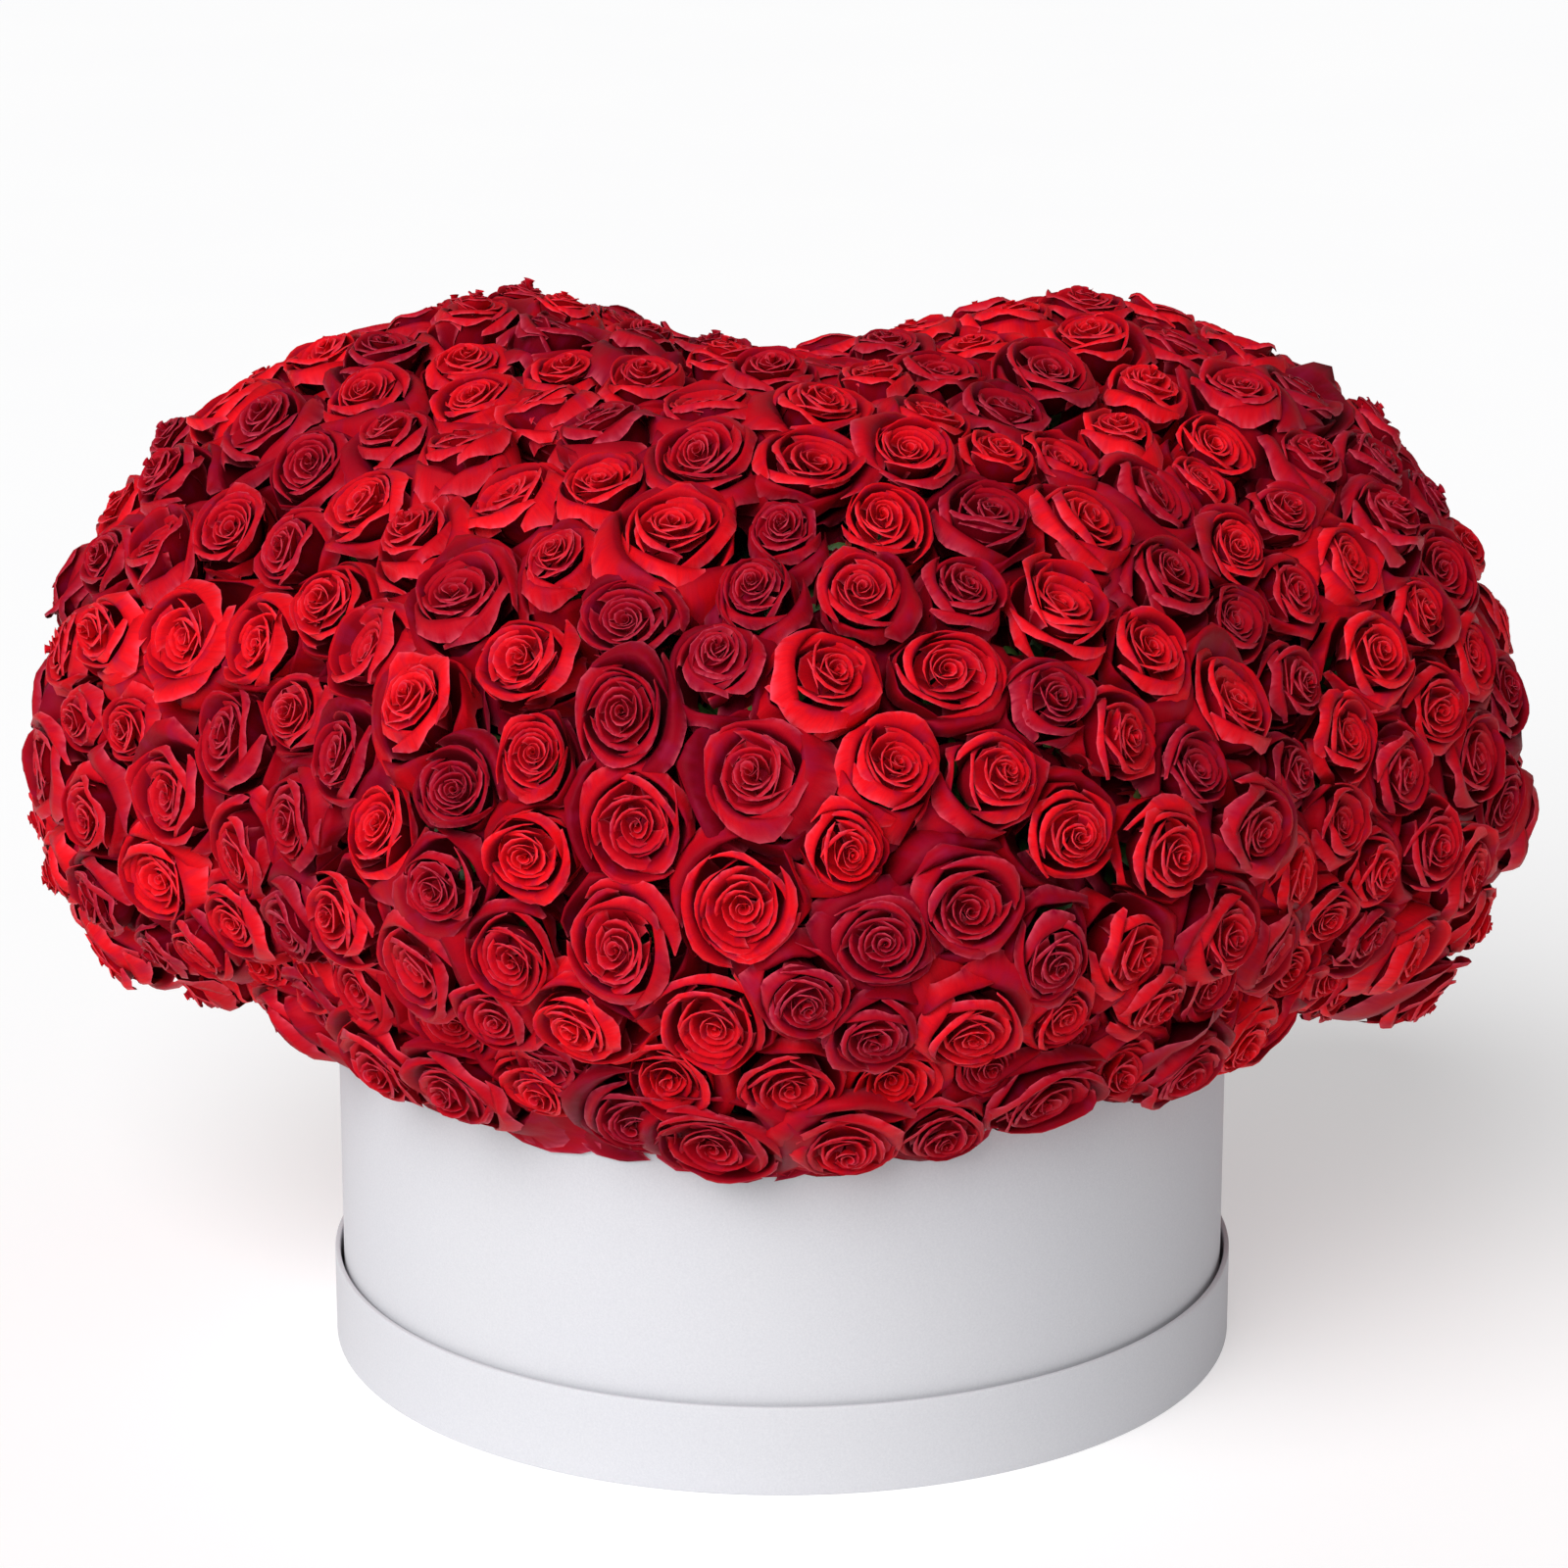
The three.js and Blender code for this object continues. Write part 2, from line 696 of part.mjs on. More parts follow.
// The wall of a bunch under one border edge, whose ends may have a shoulder. Seen from outside the bunch,
// both bunches at an edge get the same triangles.
function addWall(net, from, to, fromIds, toIds) {
  const faces = [];
  if (fromIds.shoulder !== undefined && toIds.shoulder !== undefined) {
    faces.push([toIds.top, fromIds.top, fromIds.shoulder], [toIds.top, fromIds.shoulder, toIds.shoulder]);
    faces.push([toIds.shoulder, fromIds.shoulder, fromIds.back], [toIds.shoulder, fromIds.back, toIds.back]);
  } else if (fromIds.shoulder !== undefined) {
    faces.push([toIds.top, fromIds.top, fromIds.shoulder], [toIds.top, fromIds.shoulder, toIds.back]);
    faces.push([toIds.back, fromIds.shoulder, fromIds.back]);
  } else if (toIds.shoulder !== undefined) {
    faces.push([toIds.top, fromIds.top, toIds.shoulder], [toIds.shoulder, fromIds.top, fromIds.back]);
    faces.push([toIds.shoulder, fromIds.back, toIds.back]);
  } else if (from < to) {
    faces.push([toIds.top, fromIds.top, toIds.back], [fromIds.top, fromIds.back, toIds.back]);
  } else {
    faces.push([toIds.top, fromIds.top, fromIds.back], [toIds.top, fromIds.back, toIds.back]);
  }
  net.faces.push(...faces);
}

const foamNet = new Net();
const foamIds = new Map();
const stemHoles = [];
const backs = [];

for (let bunch = 0; bunch < BUNCHES; bunch += 1) {
  const net = new Net();
  const members = membersOf(bunch);
  const tops = new Map();
  members.forEach((rose) => {
    rooms[rose].corners.forEach((corner) => {
      if (!tops.has(corner)) {
        tops.set(corner, net.add(drawnBack(corner, 'top', bunch)));
      }
    });
  });
  members.forEach((rose) => addBloom(net, rose, tops));
  const border = borderOf(bunch);
  const ids = border.map((corner) => ({
    top: tops.get(corner),
    shoulder: corners[corner].shoulder && net.add(drawnBack(corner, 'shoulder', bunch)),
    back: net.add(drawnBack(corner, 'back', bunch)),
  }));
  border.forEach((corner, k) => {
    const following = (k + 1) % border.length;
    addWall(net, corner, border[following], ids[k], ids[following]);
    if (!foamIds.has(corner)) {
      foamIds.set(corner, foamNet.add(corners[corner].back));
    }
  });
  closeChain(border, members).forEach(([a, b, c]) => {
    net.faces.push([ids[a].back, ids[c].back, ids[b].back]);
    foamNet.faces.push([a, b, c].map((k) => foamIds.get(border[k])));
  });
  const [nearest] = members
    .filter((i) => stemIsClear(places[i]))
    .sort((i, j) => places[i].distanceTo(middles[bunch]) - places[j].distanceTo(middles[bunch]));
  const stem = stemAt(places[nearest], STEM_RADIUS, STEM_LENGTH);
  stemHoles.push(stemAt(places[nearest], STEM_RADIUS + 2 * GAP, STEM_LENGTH + 2 * GAP));
  const blooms = net.solid();
  const inwards = stemDirection(middles[bunch]).multiplyScalar(-2 * GAP);
  backs.push(blooms, blooms.translate(inwards.x, inwards.y, inwards.z));
  const name = `rose_bunch_${String(bunch + 1).padStart(2, '0')}`;
  addPiece(name, geometryOf(blooms.add(stem)), bunch % 2 ? 0xb3101f : 0xa00c1a, 0.6);
}

// The foam: a heart-shaped dome under the bunches that goes down into the liner
const foamEdges = new Map();
foamNet.faces.forEach((face) => {
  face.forEach((a, k) => foamEdges.set(`${a},${face[(k + 1) % 3]}`, [a, face[(k + 1) % 3]]));
});
const foamBorder = [...foamEdges.values()].filter(([a, b]) => !foamEdges.has(`${b},${a}`));
foamNet.drawIn(FOAM_GAP);
foamBorder.forEach(([id]) => {
  const { x, y } = foamNet.points[id];
  foamNet.points[id] = atAngle(FOAM_RIM_RADIUS, Math.atan2(y, x), BOX_TOP + BACK_RISE + FOAM_RIM_RISE);
});
const foamFloor = floorTop + LINER_WALL + GAP;
const footIds = new Map();
const foot = (id) => {
  if (!footIds.has(id)) {
    const { x, y } = foamNet.points[id];
    footIds.set(id, foamNet.add(atAngle(FOAM_FOOT_RADIUS, Math.atan2(y, x), foamFloor)));
  }
  return footIds.get(id);
};
const footMiddle = foamNet.add(new THREE.Vector3(0, 0, foamFloor));
foamBorder.forEach(([a, b]) => {
  foamNet.faces.push([b, a, foot(a)], [b, foot(a), foot(b)], [footMiddle, foot(b), foot(a)]);
});
let foam = foamNet.solid();
[...stemHoles, ...backs].forEach((cut) => {
  foam = foam.subtract(cut);
});
addPiece('foam_core', geometryOf(foam), 0x3f6b3a, 0.95);

export default part;
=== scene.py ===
import math

import bpy
import numpy as np
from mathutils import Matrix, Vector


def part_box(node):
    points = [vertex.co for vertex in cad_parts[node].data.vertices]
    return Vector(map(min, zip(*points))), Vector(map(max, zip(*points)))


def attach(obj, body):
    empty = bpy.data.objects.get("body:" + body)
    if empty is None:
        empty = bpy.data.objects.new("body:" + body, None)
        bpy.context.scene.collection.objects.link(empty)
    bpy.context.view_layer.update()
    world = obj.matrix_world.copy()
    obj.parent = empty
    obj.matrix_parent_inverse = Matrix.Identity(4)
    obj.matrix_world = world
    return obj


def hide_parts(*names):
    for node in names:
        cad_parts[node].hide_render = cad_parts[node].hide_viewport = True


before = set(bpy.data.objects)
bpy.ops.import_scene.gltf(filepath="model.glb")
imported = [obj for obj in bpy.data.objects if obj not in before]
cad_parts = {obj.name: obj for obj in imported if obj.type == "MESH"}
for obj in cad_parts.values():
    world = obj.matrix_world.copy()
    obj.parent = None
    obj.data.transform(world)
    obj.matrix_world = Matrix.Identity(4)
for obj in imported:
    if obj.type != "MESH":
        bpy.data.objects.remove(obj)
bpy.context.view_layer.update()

# The hat box and its lid.
# A round box of grey board, covered with matte white paper that is turned in over the top edge and
# overlaps in one straight seam at the back. It stands in its own upturned lid, which holds its foot.
MM = 0.001
board = 3.0
board_edge = 0.9
paper_step, seam_edge, seam_overlap, seam_fade = 0.35, 0.8, 14.0, 10.0
lid_seam, box_seam = 1.72, 1.48
lid_radius, _, lid_height = np.round(np.array(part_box("lid_rim")[1]) / MM, 3)
box_radius, _, box_top = np.round(np.array(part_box("box_wall")[1]) / MM, 3)


def grid_quads(rows, columns, closed_rows=False, closed_columns=False, flipped=False):
    """Quads between the neighbours of a grid whose points are numbered row by row. A closed direction joins
    its last line to its first. Flipped quads run the other way round, so that they face the other side."""
    i, j = np.meshgrid(np.arange(rows if closed_rows else rows - 1),
                       np.arange(columns if closed_columns else columns - 1), indexing="ij")
    below, beside = (i + 1) % rows, (j + 1) % columns
    quads = np.stack([i * columns + j, i * columns + beside,
                      below * columns + beside, below * columns + j], -1).reshape(-1, 4)
    return quads[:, ::-1] if flipped else quads


def board_ring(inside, outside, bottom, top, seam_angle, steps=192, edge_steps=5, wall_steps=9):
    """A strip of board bent to a ring. Its section is a rectangle whose four corners are quarter circles,
    turned about the Z axis. Past the seam the outside stands out by the paper: a smooth step, by the
    hyperbolic tangent, which fades again over the overlap."""
    quarter = np.linspace(0, np.pi / 2, edge_steps)
    corners = ((outside - board_edge, bottom + board_edge, -np.pi / 2),
               (outside - board_edge, top - board_edge, 0.0),
               (inside + board_edge, top - board_edge, np.pi / 2),
               (inside + board_edge, bottom + board_edge, np.pi))
    lower_out, upper_out, upper_in, lower_in = [
        np.stack([x + board_edge * np.cos(start + quarter), z + board_edge * np.sin(start + quarter)], 1)
        for x, z, start in corners]
    share = np.linspace(0, 1, wall_steps)[1:-1, None]
    outer_wall = lower_out[-1] * (1 - share) + upper_out[0] * share
    inner_wall = upper_in[-1] * (1 - share) + lower_in[0] * share
    section = np.concatenate([lower_out, outer_wall, upper_out, upper_in, inner_wall, lower_in])
    angle = np.linspace(0, 2 * np.pi, steps, endpoint=False)
    past_seam = (angle - seam_angle) * outside
    step = 0.5 + 0.5 * np.tanh(past_seam / seam_edge)
    step *= 0.5 - 0.5 * np.tanh((past_seam - seam_overlap) / seam_fade)
    is_outside = section[:, 0] > outside - board_edge
    radius = section[None, :, 0] + paper_step * step[:, None] * is_outside[None, :]
    points = np.stack([radius * np.cos(angle)[:, None], radius * np.sin(angle)[:, None],
                       np.broadcast_to(section[None, :, 1], radius.shape)], 2)
    return points.reshape(-1, 3), grid_quads(steps, len(section), True, True, flipped=True)


def make_piece(name, points, quads, material, attributes=()):
    """A smooth piece from points in millimetres and quads, with its material and any values at its points."""
    mesh = bpy.data.meshes.new(name)
    mesh.vertices.add(len(points))
    mesh.vertices.foreach_set("co", (points * MM).ravel())
    mesh.loops.add(quads.size)
    mesh.loops.foreach_set("vertex_index", quads.ravel())
    mesh.polygons.add(len(quads))
    mesh.polygons.foreach_set("loop_start", np.arange(0, quads.size, 4))
    mesh.update(calc_edges=True)
    mesh.polygons.foreach_set("use_smooth", np.ones(len(quads), bool))
    for attribute, values in attributes:
        layer = mesh.attributes.new(attribute, "FLOAT_VECTOR", "POINT")
        layer.data.foreach_set("vector", values.astype(np.float32).ravel())
    mesh.validate()
    mesh.materials.append(material)
    piece = bpy.data.objects.new(name, mesh)
    bpy.context.scene.collection.objects.link(piece)
    return piece


def feed(tree, target, inputs):
    """Gives each input of a node its value, or links another node's output to it."""
    for key, value in inputs.items():
        if isinstance(value, bpy.types.NodeSocket):
            tree.links.new(value, target.inputs[key])
        else:
            target.inputs[key].default_value = value


def node(tree, kind, inputs=None, **settings):
    """One shader node with its settings and inputs."""
    made = tree.nodes.new("ShaderNode" + kind)
    for key, value in settings.items():
        setattr(made, key, value)
    feed(tree, made, inputs or {})
    return made


def colour_mix(tree, share, first, second, way="MIX"):
    """Colour that goes from the first to the second as share goes from 0 to 1, or towards their product."""
    mixed = node(tree, "Mix", {0: share, 6: first, 7: second}, data_type="RGBA", blend_type=way)
    return mixed.outputs[2]


def new_material(name):
    """A material with its node tree and its Principled shader."""
    material = bpy.data.materials.new(name)
    material.use_nodes = True
    return material, material.node_tree, material.node_tree.nodes["Principled BSDF"]


# The mottled grain of paper, plastic, foam and stems: a noise tints the surface between two colours, and
# raises it a little. Low and High are the values of the noise that give the first and second colour alone
plain_white = (1.0, 1.0, 1.0, 1.0)
grain_group = bpy.data.node_groups.new("mottled_grain", "ShaderNodeTree")
for label, kind, usual in (("Scale", "Float", 10.0), ("Detail", "Float", 3.0), ("Roughness", "Float", 0.5),
                           ("Low", "Float", 0.0), ("High", "Float", 1.0), ("First", "Color", plain_white),
                           ("Second", "Color", plain_white), ("Strength", "Float", 0.3),
                           ("Distance", "Float", MM)):
    socket = grain_group.interface.new_socket(label, in_out="INPUT", socket_type="NodeSocket" + kind)
    socket.default_value = usual
for label, kind in (("Color", "Color"), ("Grain", "Float"), ("Normal", "Vector")):
    grain_group.interface.new_socket(label, in_out="OUTPUT", socket_type="NodeSocket" + kind)
given = grain_group.nodes.new("NodeGroupInput").outputs
noise = node(grain_group, "TexNoise", {
    "Vector": node(grain_group, "TexCoord").outputs["Object"], "Scale": given["Scale"],
    "Detail": given["Detail"], "Roughness": given["Roughness"]}).outputs["Fac"]
shade = node(grain_group, "MapRange", {"Value": noise, "From Min": given["Low"], "From Max": given["High"]})
raised = node(grain_group, "Bump", {
    "Height": noise, "Strength": given["Strength"], "Distance": given["Distance"]})
feed(grain_group, grain_group.nodes.new("NodeGroupOutput"), {
    "Color": colour_mix(grain_group, shade.outputs[0], given["First"], given["Second"]),
    "Grain": noise, "Normal": raised.outputs["Normal"]})


def grain(tree, **values):
    """The outputs of the mottled grain, placed in a material with this material's own values."""
    placed = node(tree, "Group", node_tree=grain_group)
    feed(tree, placed, values)
    return placed.outputs


paper, tree, shader = new_material("matte_white_paper")
fibres = grain(tree, Scale=900.0, Detail=4.0, Roughness=0.65, Low=0.3, High=0.7,
               First=(0.525, 0.53, 0.56, 1.0), Second=(0.585, 0.59, 0.615, 1.0),
               Strength=0.12, Distance=0.3 * MM)
clouds = grain(tree, Scale=9.0, First=(0.985, 0.985, 1.0, 1.0), Second=(1.0, 0.995, 0.985, 1.0))
rough = node(tree, "MapRange", {"Value": fibres["Grain"], "To Min": 0.62, "To Max": 0.8})
feed(tree, shader, {
    "Base Color": colour_mix(tree, 1.0, fibres["Color"], clouds["Color"], "MULTIPLY"),
    "Roughness": rough.outputs[0], "Normal": fibres["Normal"], "Specular IOR Level": 0.3})

lid_strip = board_ring(lid_radius - board, lid_radius, 0.0, lid_height, lid_seam)
box_strip = board_ring(box_radius - board, box_radius, board, box_top, box_seam)
for name, (points, quads), cad_node in (("lid_rim_paper", lid_strip, "lid_rim"),
                                        ("box_wall_paper", box_strip, "box_wall")):
    piece = make_piece(name, points, quads, paper)
    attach(piece, "root")
    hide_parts(cad_node)
for cad_node in ("lid_panel", "box_base"):
    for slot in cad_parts[cad_node].material_slots:
        slot.material = paper


# The liner and the foam.
# A thin frosted plastic cup keeps the soaked foam off the board. The foam is a carved block of open green
# cells, which the stems are stuck into. Both stay as the CAD made them, and only get their finish here.
plastic, tree, shader = new_material("frosted_plastic_sheet")
haze = grain(tree, Scale=60.0, First=(0.62, 0.66, 0.67, 1.0), Second=(0.78, 0.80, 0.81, 1.0),
             Strength=0.3, Distance=2 * MM)
feed(tree, shader, {"Base Color": haze["Color"], "Normal": haze["Normal"], "Roughness": 0.35})

foam, tree, shader = new_material("wet_floral_foam")
damp = grain(tree, Scale=25.0, Detail=5.0, First=(0.012, 0.035, 0.010, 1.0), Second=(0.04, 0.09, 0.03, 1.0))
cells = node(tree, "TexVoronoi", {"Vector": node(tree, "TexCoord").outputs["Object"], "Scale": 700.0})
pores = node(tree, "Bump", {"Height": cells.outputs["Distance"], "Strength": 0.8, "Distance": MM})
feed(tree, shader, {"Base Color": damp["Color"], "Normal": pores.outputs["Normal"], "Roughness": 0.9})
for cad_node, material in (("liner", plastic), ("foam_core", foam)):
    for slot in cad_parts[cad_node].material_slots:
        slot.material = material


# Where the roses sit.
# The florist sticks the roses into the foam so that their tops make one heart: two lobes at the back, the
# point at the front, and a row that hangs over the box's rim. All lengths here are in millimetres.
lobes = np.array([  # x, y, z of the middle, then its reach outward, inward, deep, up and down
    [-151.0, 92.0, 297.0, 277.0, 175.0, 236.0, 266.0, 157.0],
    [151.0, 92.0, 297.0, 277.0, 175.0, 236.0, 266.0, 157.0],
    [0.0, -75.0, 331.0, 277.0, 277.0, 269.0, 231.0, 193.0]])
collar_radius, collar_height, collar_out, collar_up = 235.0, 205.0, 46.0, 38.0
blend = 7.0
heart_middle = np.array([0.0, -20.0, 300.0])
farthest, halvings = 800.0, 26
roses, rim_roses, bunches = 414, 34, 35
free = roses - rim_roses
rim_reach, rim_reach_range, rim_turn_range, inner_reach = 273.0, 7.0, 0.3, 222.0
spacing = 54.0
smallest, size_range = 0.84, 0.36
bunch_rounds = 40


def chance(index, draw):
    """A number from 0 to 1: the fraction left by a large multiple of the sine of both whole numbers. The
    draw tells one use from another."""
    value = np.sin(12.9898 * (np.asarray(index) + 1) + 78.233 * (np.asarray(draw) + 1)) * 43758.5453
    return value - np.floor(value)


def unit(vectors):
    """The vectors, each divided by its length."""
    return vectors / np.linalg.norm(vectors, axis=-1, keepdims=True)


def fullness(points):
    """Above 0 inside the heart: the logarithm of the sum of each solid's exponential of 1 minus its own
    measure, where a measure is the distance from its middle in units of its reaches, or from the collar."""
    x, y, z = points[..., 0], points[..., 1], points[..., 2]
    total = 0.0
    for cx, cy, cz, outward, inward, deep, up, down in lobes:
        side = np.where((x - cx) * cx < 0, inward, outward)
        height = np.where(z > cz, up, down)
        measure = np.sqrt(((x - cx) / side) ** 2 + ((y - cy) / deep) ** 2 + ((z - cz) / height) ** 2)
        total = total + np.exp(blend * (1 - measure))
    across = (np.hypot(x, y) - collar_radius) / collar_out
    total = total + np.exp(blend * (1 - np.hypot(across, (z - collar_height) / collar_up)))
    return np.log(total) / blend


def onto_heart(points):
    """The surface point in each point's direction from the heart's middle, found by halving."""
    way = unit(points - heart_middle)
    near, far = np.zeros(way.shape[:-1]), np.full(way.shape[:-1], farthest)
    for _ in range(halvings):
        middle = (near + far) / 2
        inside = fullness(heart_middle + way * middle[..., None]) > 0
        near, far = np.where(inside, middle, near), np.where(inside, far, middle)
    return heart_middle + way * ((near + far) / 2)[..., None]


def square_to(points):
    """Outward direction square to the surface, from the fullness half a millimetre to each side."""
    slopes = [fullness(points - step) - fullness(points + step) for step in 0.5 * np.eye(3)]
    return unit(np.stack(slopes, -1))


def under_heart(reach, angle):
    """The point on the heart's underside at a distance from the axis, by halving its height."""
    x, y = reach * np.cos(angle), reach * np.sin(angle)
    low, high = np.zeros_like(x), np.full_like(x, collar_height)
    for _ in range(halvings):
        z = (low + high) / 2
        inside = fullness(np.stack([x, y, z], -1)) > 0
        high, low = np.where(inside, z, high), np.where(inside, low, z)
    return np.stack([x, y, z], -1)


def spiral_over_heart(count, tries=6000, lowest=-0.72, least_slant=0.2):
    """Points spaced evenly by area along a sunflower spiral of directions, from the top down. A direction
    covers its distance squared over the cosine of the surface's slant, and nothing inside the box."""
    i = np.arange(tries)
    rise = 1 - (1 - lowest) * (i + 0.5) / tries
    turn = np.pi * (3 - np.sqrt(5)) * i
    flat = np.sqrt(1 - rise ** 2)
    way = np.stack([flat * np.cos(turn), flat * np.sin(turn), rise], -1)
    points = onto_heart(heart_middle + way)
    in_box = (np.hypot(points[:, 0], points[:, 1]) < rim_reach + spacing / 2) & (points[:, 2] < collar_height)
    slant = np.maximum((way * square_to(points)).sum(-1), least_slant)
    areas = np.cumsum(np.where(in_box, 0, ((points - heart_middle) ** 2).sum(-1) / slant))
    return points[np.searchsorted(areas, areas[-1] * (np.arange(count) + 0.5) / count)]


def spread_out(moving, held, sizes, rounds=160, wanted_gap=1.35, push=0.16):
    """Points push each other apart over the surface for some rounds. A push grows with the square of how far
    two points are inside the gap that they want, which is their mean size times the spacing."""
    count = len(moving)
    wanted = wanted_gap * spacing * (sizes[:count, None] + sizes[None, :]) / 2
    for _ in range(rounds):
        everyone = np.concatenate([moving, held])
        offset = moving[:, None] - everyone[None]
        apart = np.linalg.norm(offset, axis=-1)
        apart[np.arange(count), np.arange(count)] = np.inf
        near = np.maximum(1 - apart / wanted, 0)
        moving = onto_heart(moving + (offset * (push * spacing * near ** 2 / apart)[..., None]).sum(1))
    return moving


row = np.arange(rim_roses)
row_turn = 2 * np.pi / rim_roses
rim_row = under_heart(rim_reach + rim_reach_range * (chance(row, 8) - 0.5),
                      row_turn * (row + rim_turn_range * (chance(row, 7) - 0.5)))
inner_row = under_heart(np.full(rim_roses, inner_reach), row_turn * (row + 0.5))
sizes = smallest + size_range * chance(np.arange(roses), 0)
all_sizes = np.concatenate([sizes, np.ones(rim_roses)])
places = spread_out(spiral_over_heart(free), np.concatenate([rim_row, inner_row]), all_sizes)
places = np.concatenate([places, rim_row])

# A bunch holds the roses that are nearest to its middle, and its middle is the mean of their places
middles = spiral_over_heart(bunches)
for _ in range(bunch_rounds):
    bunch_of = np.linalg.norm(places[:, None] - middles[None], axis=-1).argmin(1)
    middles = np.array([places[bunch_of == bunch].mean(0) for bunch in range(bunches)])


# The roses.
# Each bloom is a cut garden rose of about 30 petals round a rolled bud: tight inner petals wound in a
# spiral, cupped petals with rolled rims, and outer petals that turn right over. Petals are single sheets.
most_lean = 0.55
usual_lift, lift_range, lift_below = 4.5, 7.0, 6.0
held_least, held_more, sag, drawn_in = 17.0, 24.0, 17.0, 9.0
rim_out, rim_up, rim_uneven = 14.0, 5.0, 20.0


def rising(value, start, end):
    """0 up to the start and 1 from the end on, in a straight line between. The end may be the lower one."""
    return np.clip((value - start) / (end - start), 0, 1)


# A bloom faces square to the heart, with a lean of its own. Low blooms and the rim's row turn outward
rose = np.arange(roses)
on_rim = (rose >= free)[:, None]
out = square_to(places)
outward = np.concatenate([unit(places[:, :2]), np.zeros((roses, 1))], 1)
lean = np.stack([chance(rose, draw) for draw in (50, 51, 52)], 1) - 0.5
lean *= 0.5 + 0.9 * chance(rose, 46)[:, None] ** 2
lean *= np.minimum(1, most_lean / np.linalg.norm(lean, axis=1, keepdims=True))
turned_out = 0.8 * rising(out[:, 2:], 0.0, -2 / 3)
axis = unit(np.where(on_rim, 0.45 * out + outward + [0.0, 0.0, 0.08] + 0.6 * lean,
                     out + turned_out * outward + lean))
level = np.where(np.abs(axis[:, 2:]) > 0.9, [[1.0, 0.0, 0.0]], [[0.0, 0.0, 1.0]])
right = unit(np.cross(level, axis))
upper = np.cross(axis, right)

# How high a bloom stands. The lowest ones are held up, least in the middle, and those of the right lobe sag
lift = usual_lift + lift_range * (chance(rose, 53) - 0.5) + lift_range * (chance(rose, 45) - 0.5)
lift += lift_below * np.clip(-out[:, 2], 0, 1) * (rose < free)
low = rising(places[:, 2], 305.0, 195.0)
from_middle = np.abs(places[:, 0])
held_up = low * (held_least + held_more * rising(from_middle, 0.0, 120.0))
held_up *= rising(from_middle, 350.0, 270.0)
sags = sag * low * rising(places[:, 0], 250.0, 360.0)
row_height = np.where(on_rim[:, 0], rim_up + rim_uneven * (chance(rose, 47) - 0.5), 0.0)
seats = places + np.where(on_rim, rim_out, 0.0) * outward
seats[:, 2] += held_up - sags + row_height
seats[:, 0] -= drawn_in * rising(places[:, 0], 320.0, 390.0)

# How a bloom has grown: how open it is, which way it winds, and how its heart is pressed and tipped.
# Folded is 1 for the blooms down in the fold between the two lobes
openness = chance(rose, 54)[:, None]
wound = np.where(chance(rose, 55) > 0.4, 1.0, -1.0)
quarter_turn = 2 * np.pi * chance(rose, 1)
squash = 0.2 * (chance(rose, 56)[:, None] - 0.5)
off_centre = 7.0 * (np.stack([chance(rose, 57), chance(rose, 58)], 1) - 0.5)
tip_over = 0.5 * (np.stack([chance(rose, 59), chance(rose, 49)], 1) - 0.5)
hollow = -8.0 + 12.5 * openness ** 1.2
rolled = 0.6 + 0.8 * chance(rose, 48)[:, None]
taller = (lift - lift.mean())[:, None]
folded = (rising(from_middle, 84.0, 24.0) * rising(places[:, 1], 30.0, 70.0))[:, None]

# A bloom's neighbours, and how far it is to the lines halfway to them, by their sizes
neighbours, near_reach, no_limit, least_facing = 9, 95.0, 200.0, 0.2
low_room, high_room, room_split = 33.0, 42.0, 235.0
offset = places[None] - places[:, None]
apart = np.linalg.norm(offset, axis=2)
is_near = (apart > 1) & (apart < near_reach)
half_way = np.where(is_near, apart * sizes[:, None] / (sizes[:, None] + sizes[None]), no_limit)
bearing = np.arctan2((offset * upper[:, None]).sum(2), (offset * right[:, None]).sum(2))
nearest = np.argsort(np.where(is_near, apart, np.inf), axis=1, kind="stable")[:, :neighbours]


def room_at(angle):
    """How far a bloom may reach at each angle: the nearest of the lines halfway to its neighbours, each at
    its distance over the cosine of the angle to that neighbour, and never more than a full bloom's reach."""
    flat = angle.reshape(roses, -1)
    room = np.where(places[:, 2:] < room_split, low_room, high_room) + np.zeros(flat.shape)
    for other in nearest.T:
        facing = np.cos(flat - bearing[rose, other][:, None])
        line = half_way[rose, other][:, None] / np.maximum(facing, least_facing)
        room = np.minimum(room, np.where(facing > least_facing, line, no_limit))
    return room.reshape(angle.shape)


# A bloom grows with the room that it has. Draw 45 is the one that lifts it too, so larger ones stand higher
usual_room = 25.7
sample_reach, deepest_fall, highest_rise = 26.0, -22.0, 14.0
around = np.linspace(0, 2 * np.pi, 12, endpoint=False)
mean_room = room_at(np.broadcast_to(around, (roses, len(around)))).mean(1)
grown = (0.48 + 0.64 * sizes) * (0.93 + 0.16 * chance(rose, 45)) * np.where(rose < free, 1.0, 1.18)
bloom_size = np.where(rose < free, 1.03, 1.27) * grown * (mean_room / grown / usual_room) ** 0.8
samples = (places[:, None] + sample_reach * (np.cos(around)[None, :, None] * right[:, None]
                                             + np.sin(around)[None, :, None] * upper[:, None]))
falls_away = ((onto_heart(samples) - samples) * axis[:, None]).sum(2)
falls_away = np.clip(falls_away, deepest_fall, highest_rise)


def surface_fall(radius, angle):
    """How far the heart's surface falls away under a bloom: the fall at the sample reach in that direction,
    from twelve directions, times the square of the radius over the sample reach."""
    at = (angle / (2 * np.pi) * len(around)) % len(around)
    before = np.floor(at).astype(int) % len(around)
    share = at - np.floor(at)
    owner = rose.reshape((-1,) + (1,) * (angle.ndim - 1))
    fall = falls_away[owner, before] * (1 - share) + falls_away[owner, (before + 1) % len(around)] * share
    return fall * (radius / sample_reach) ** 2


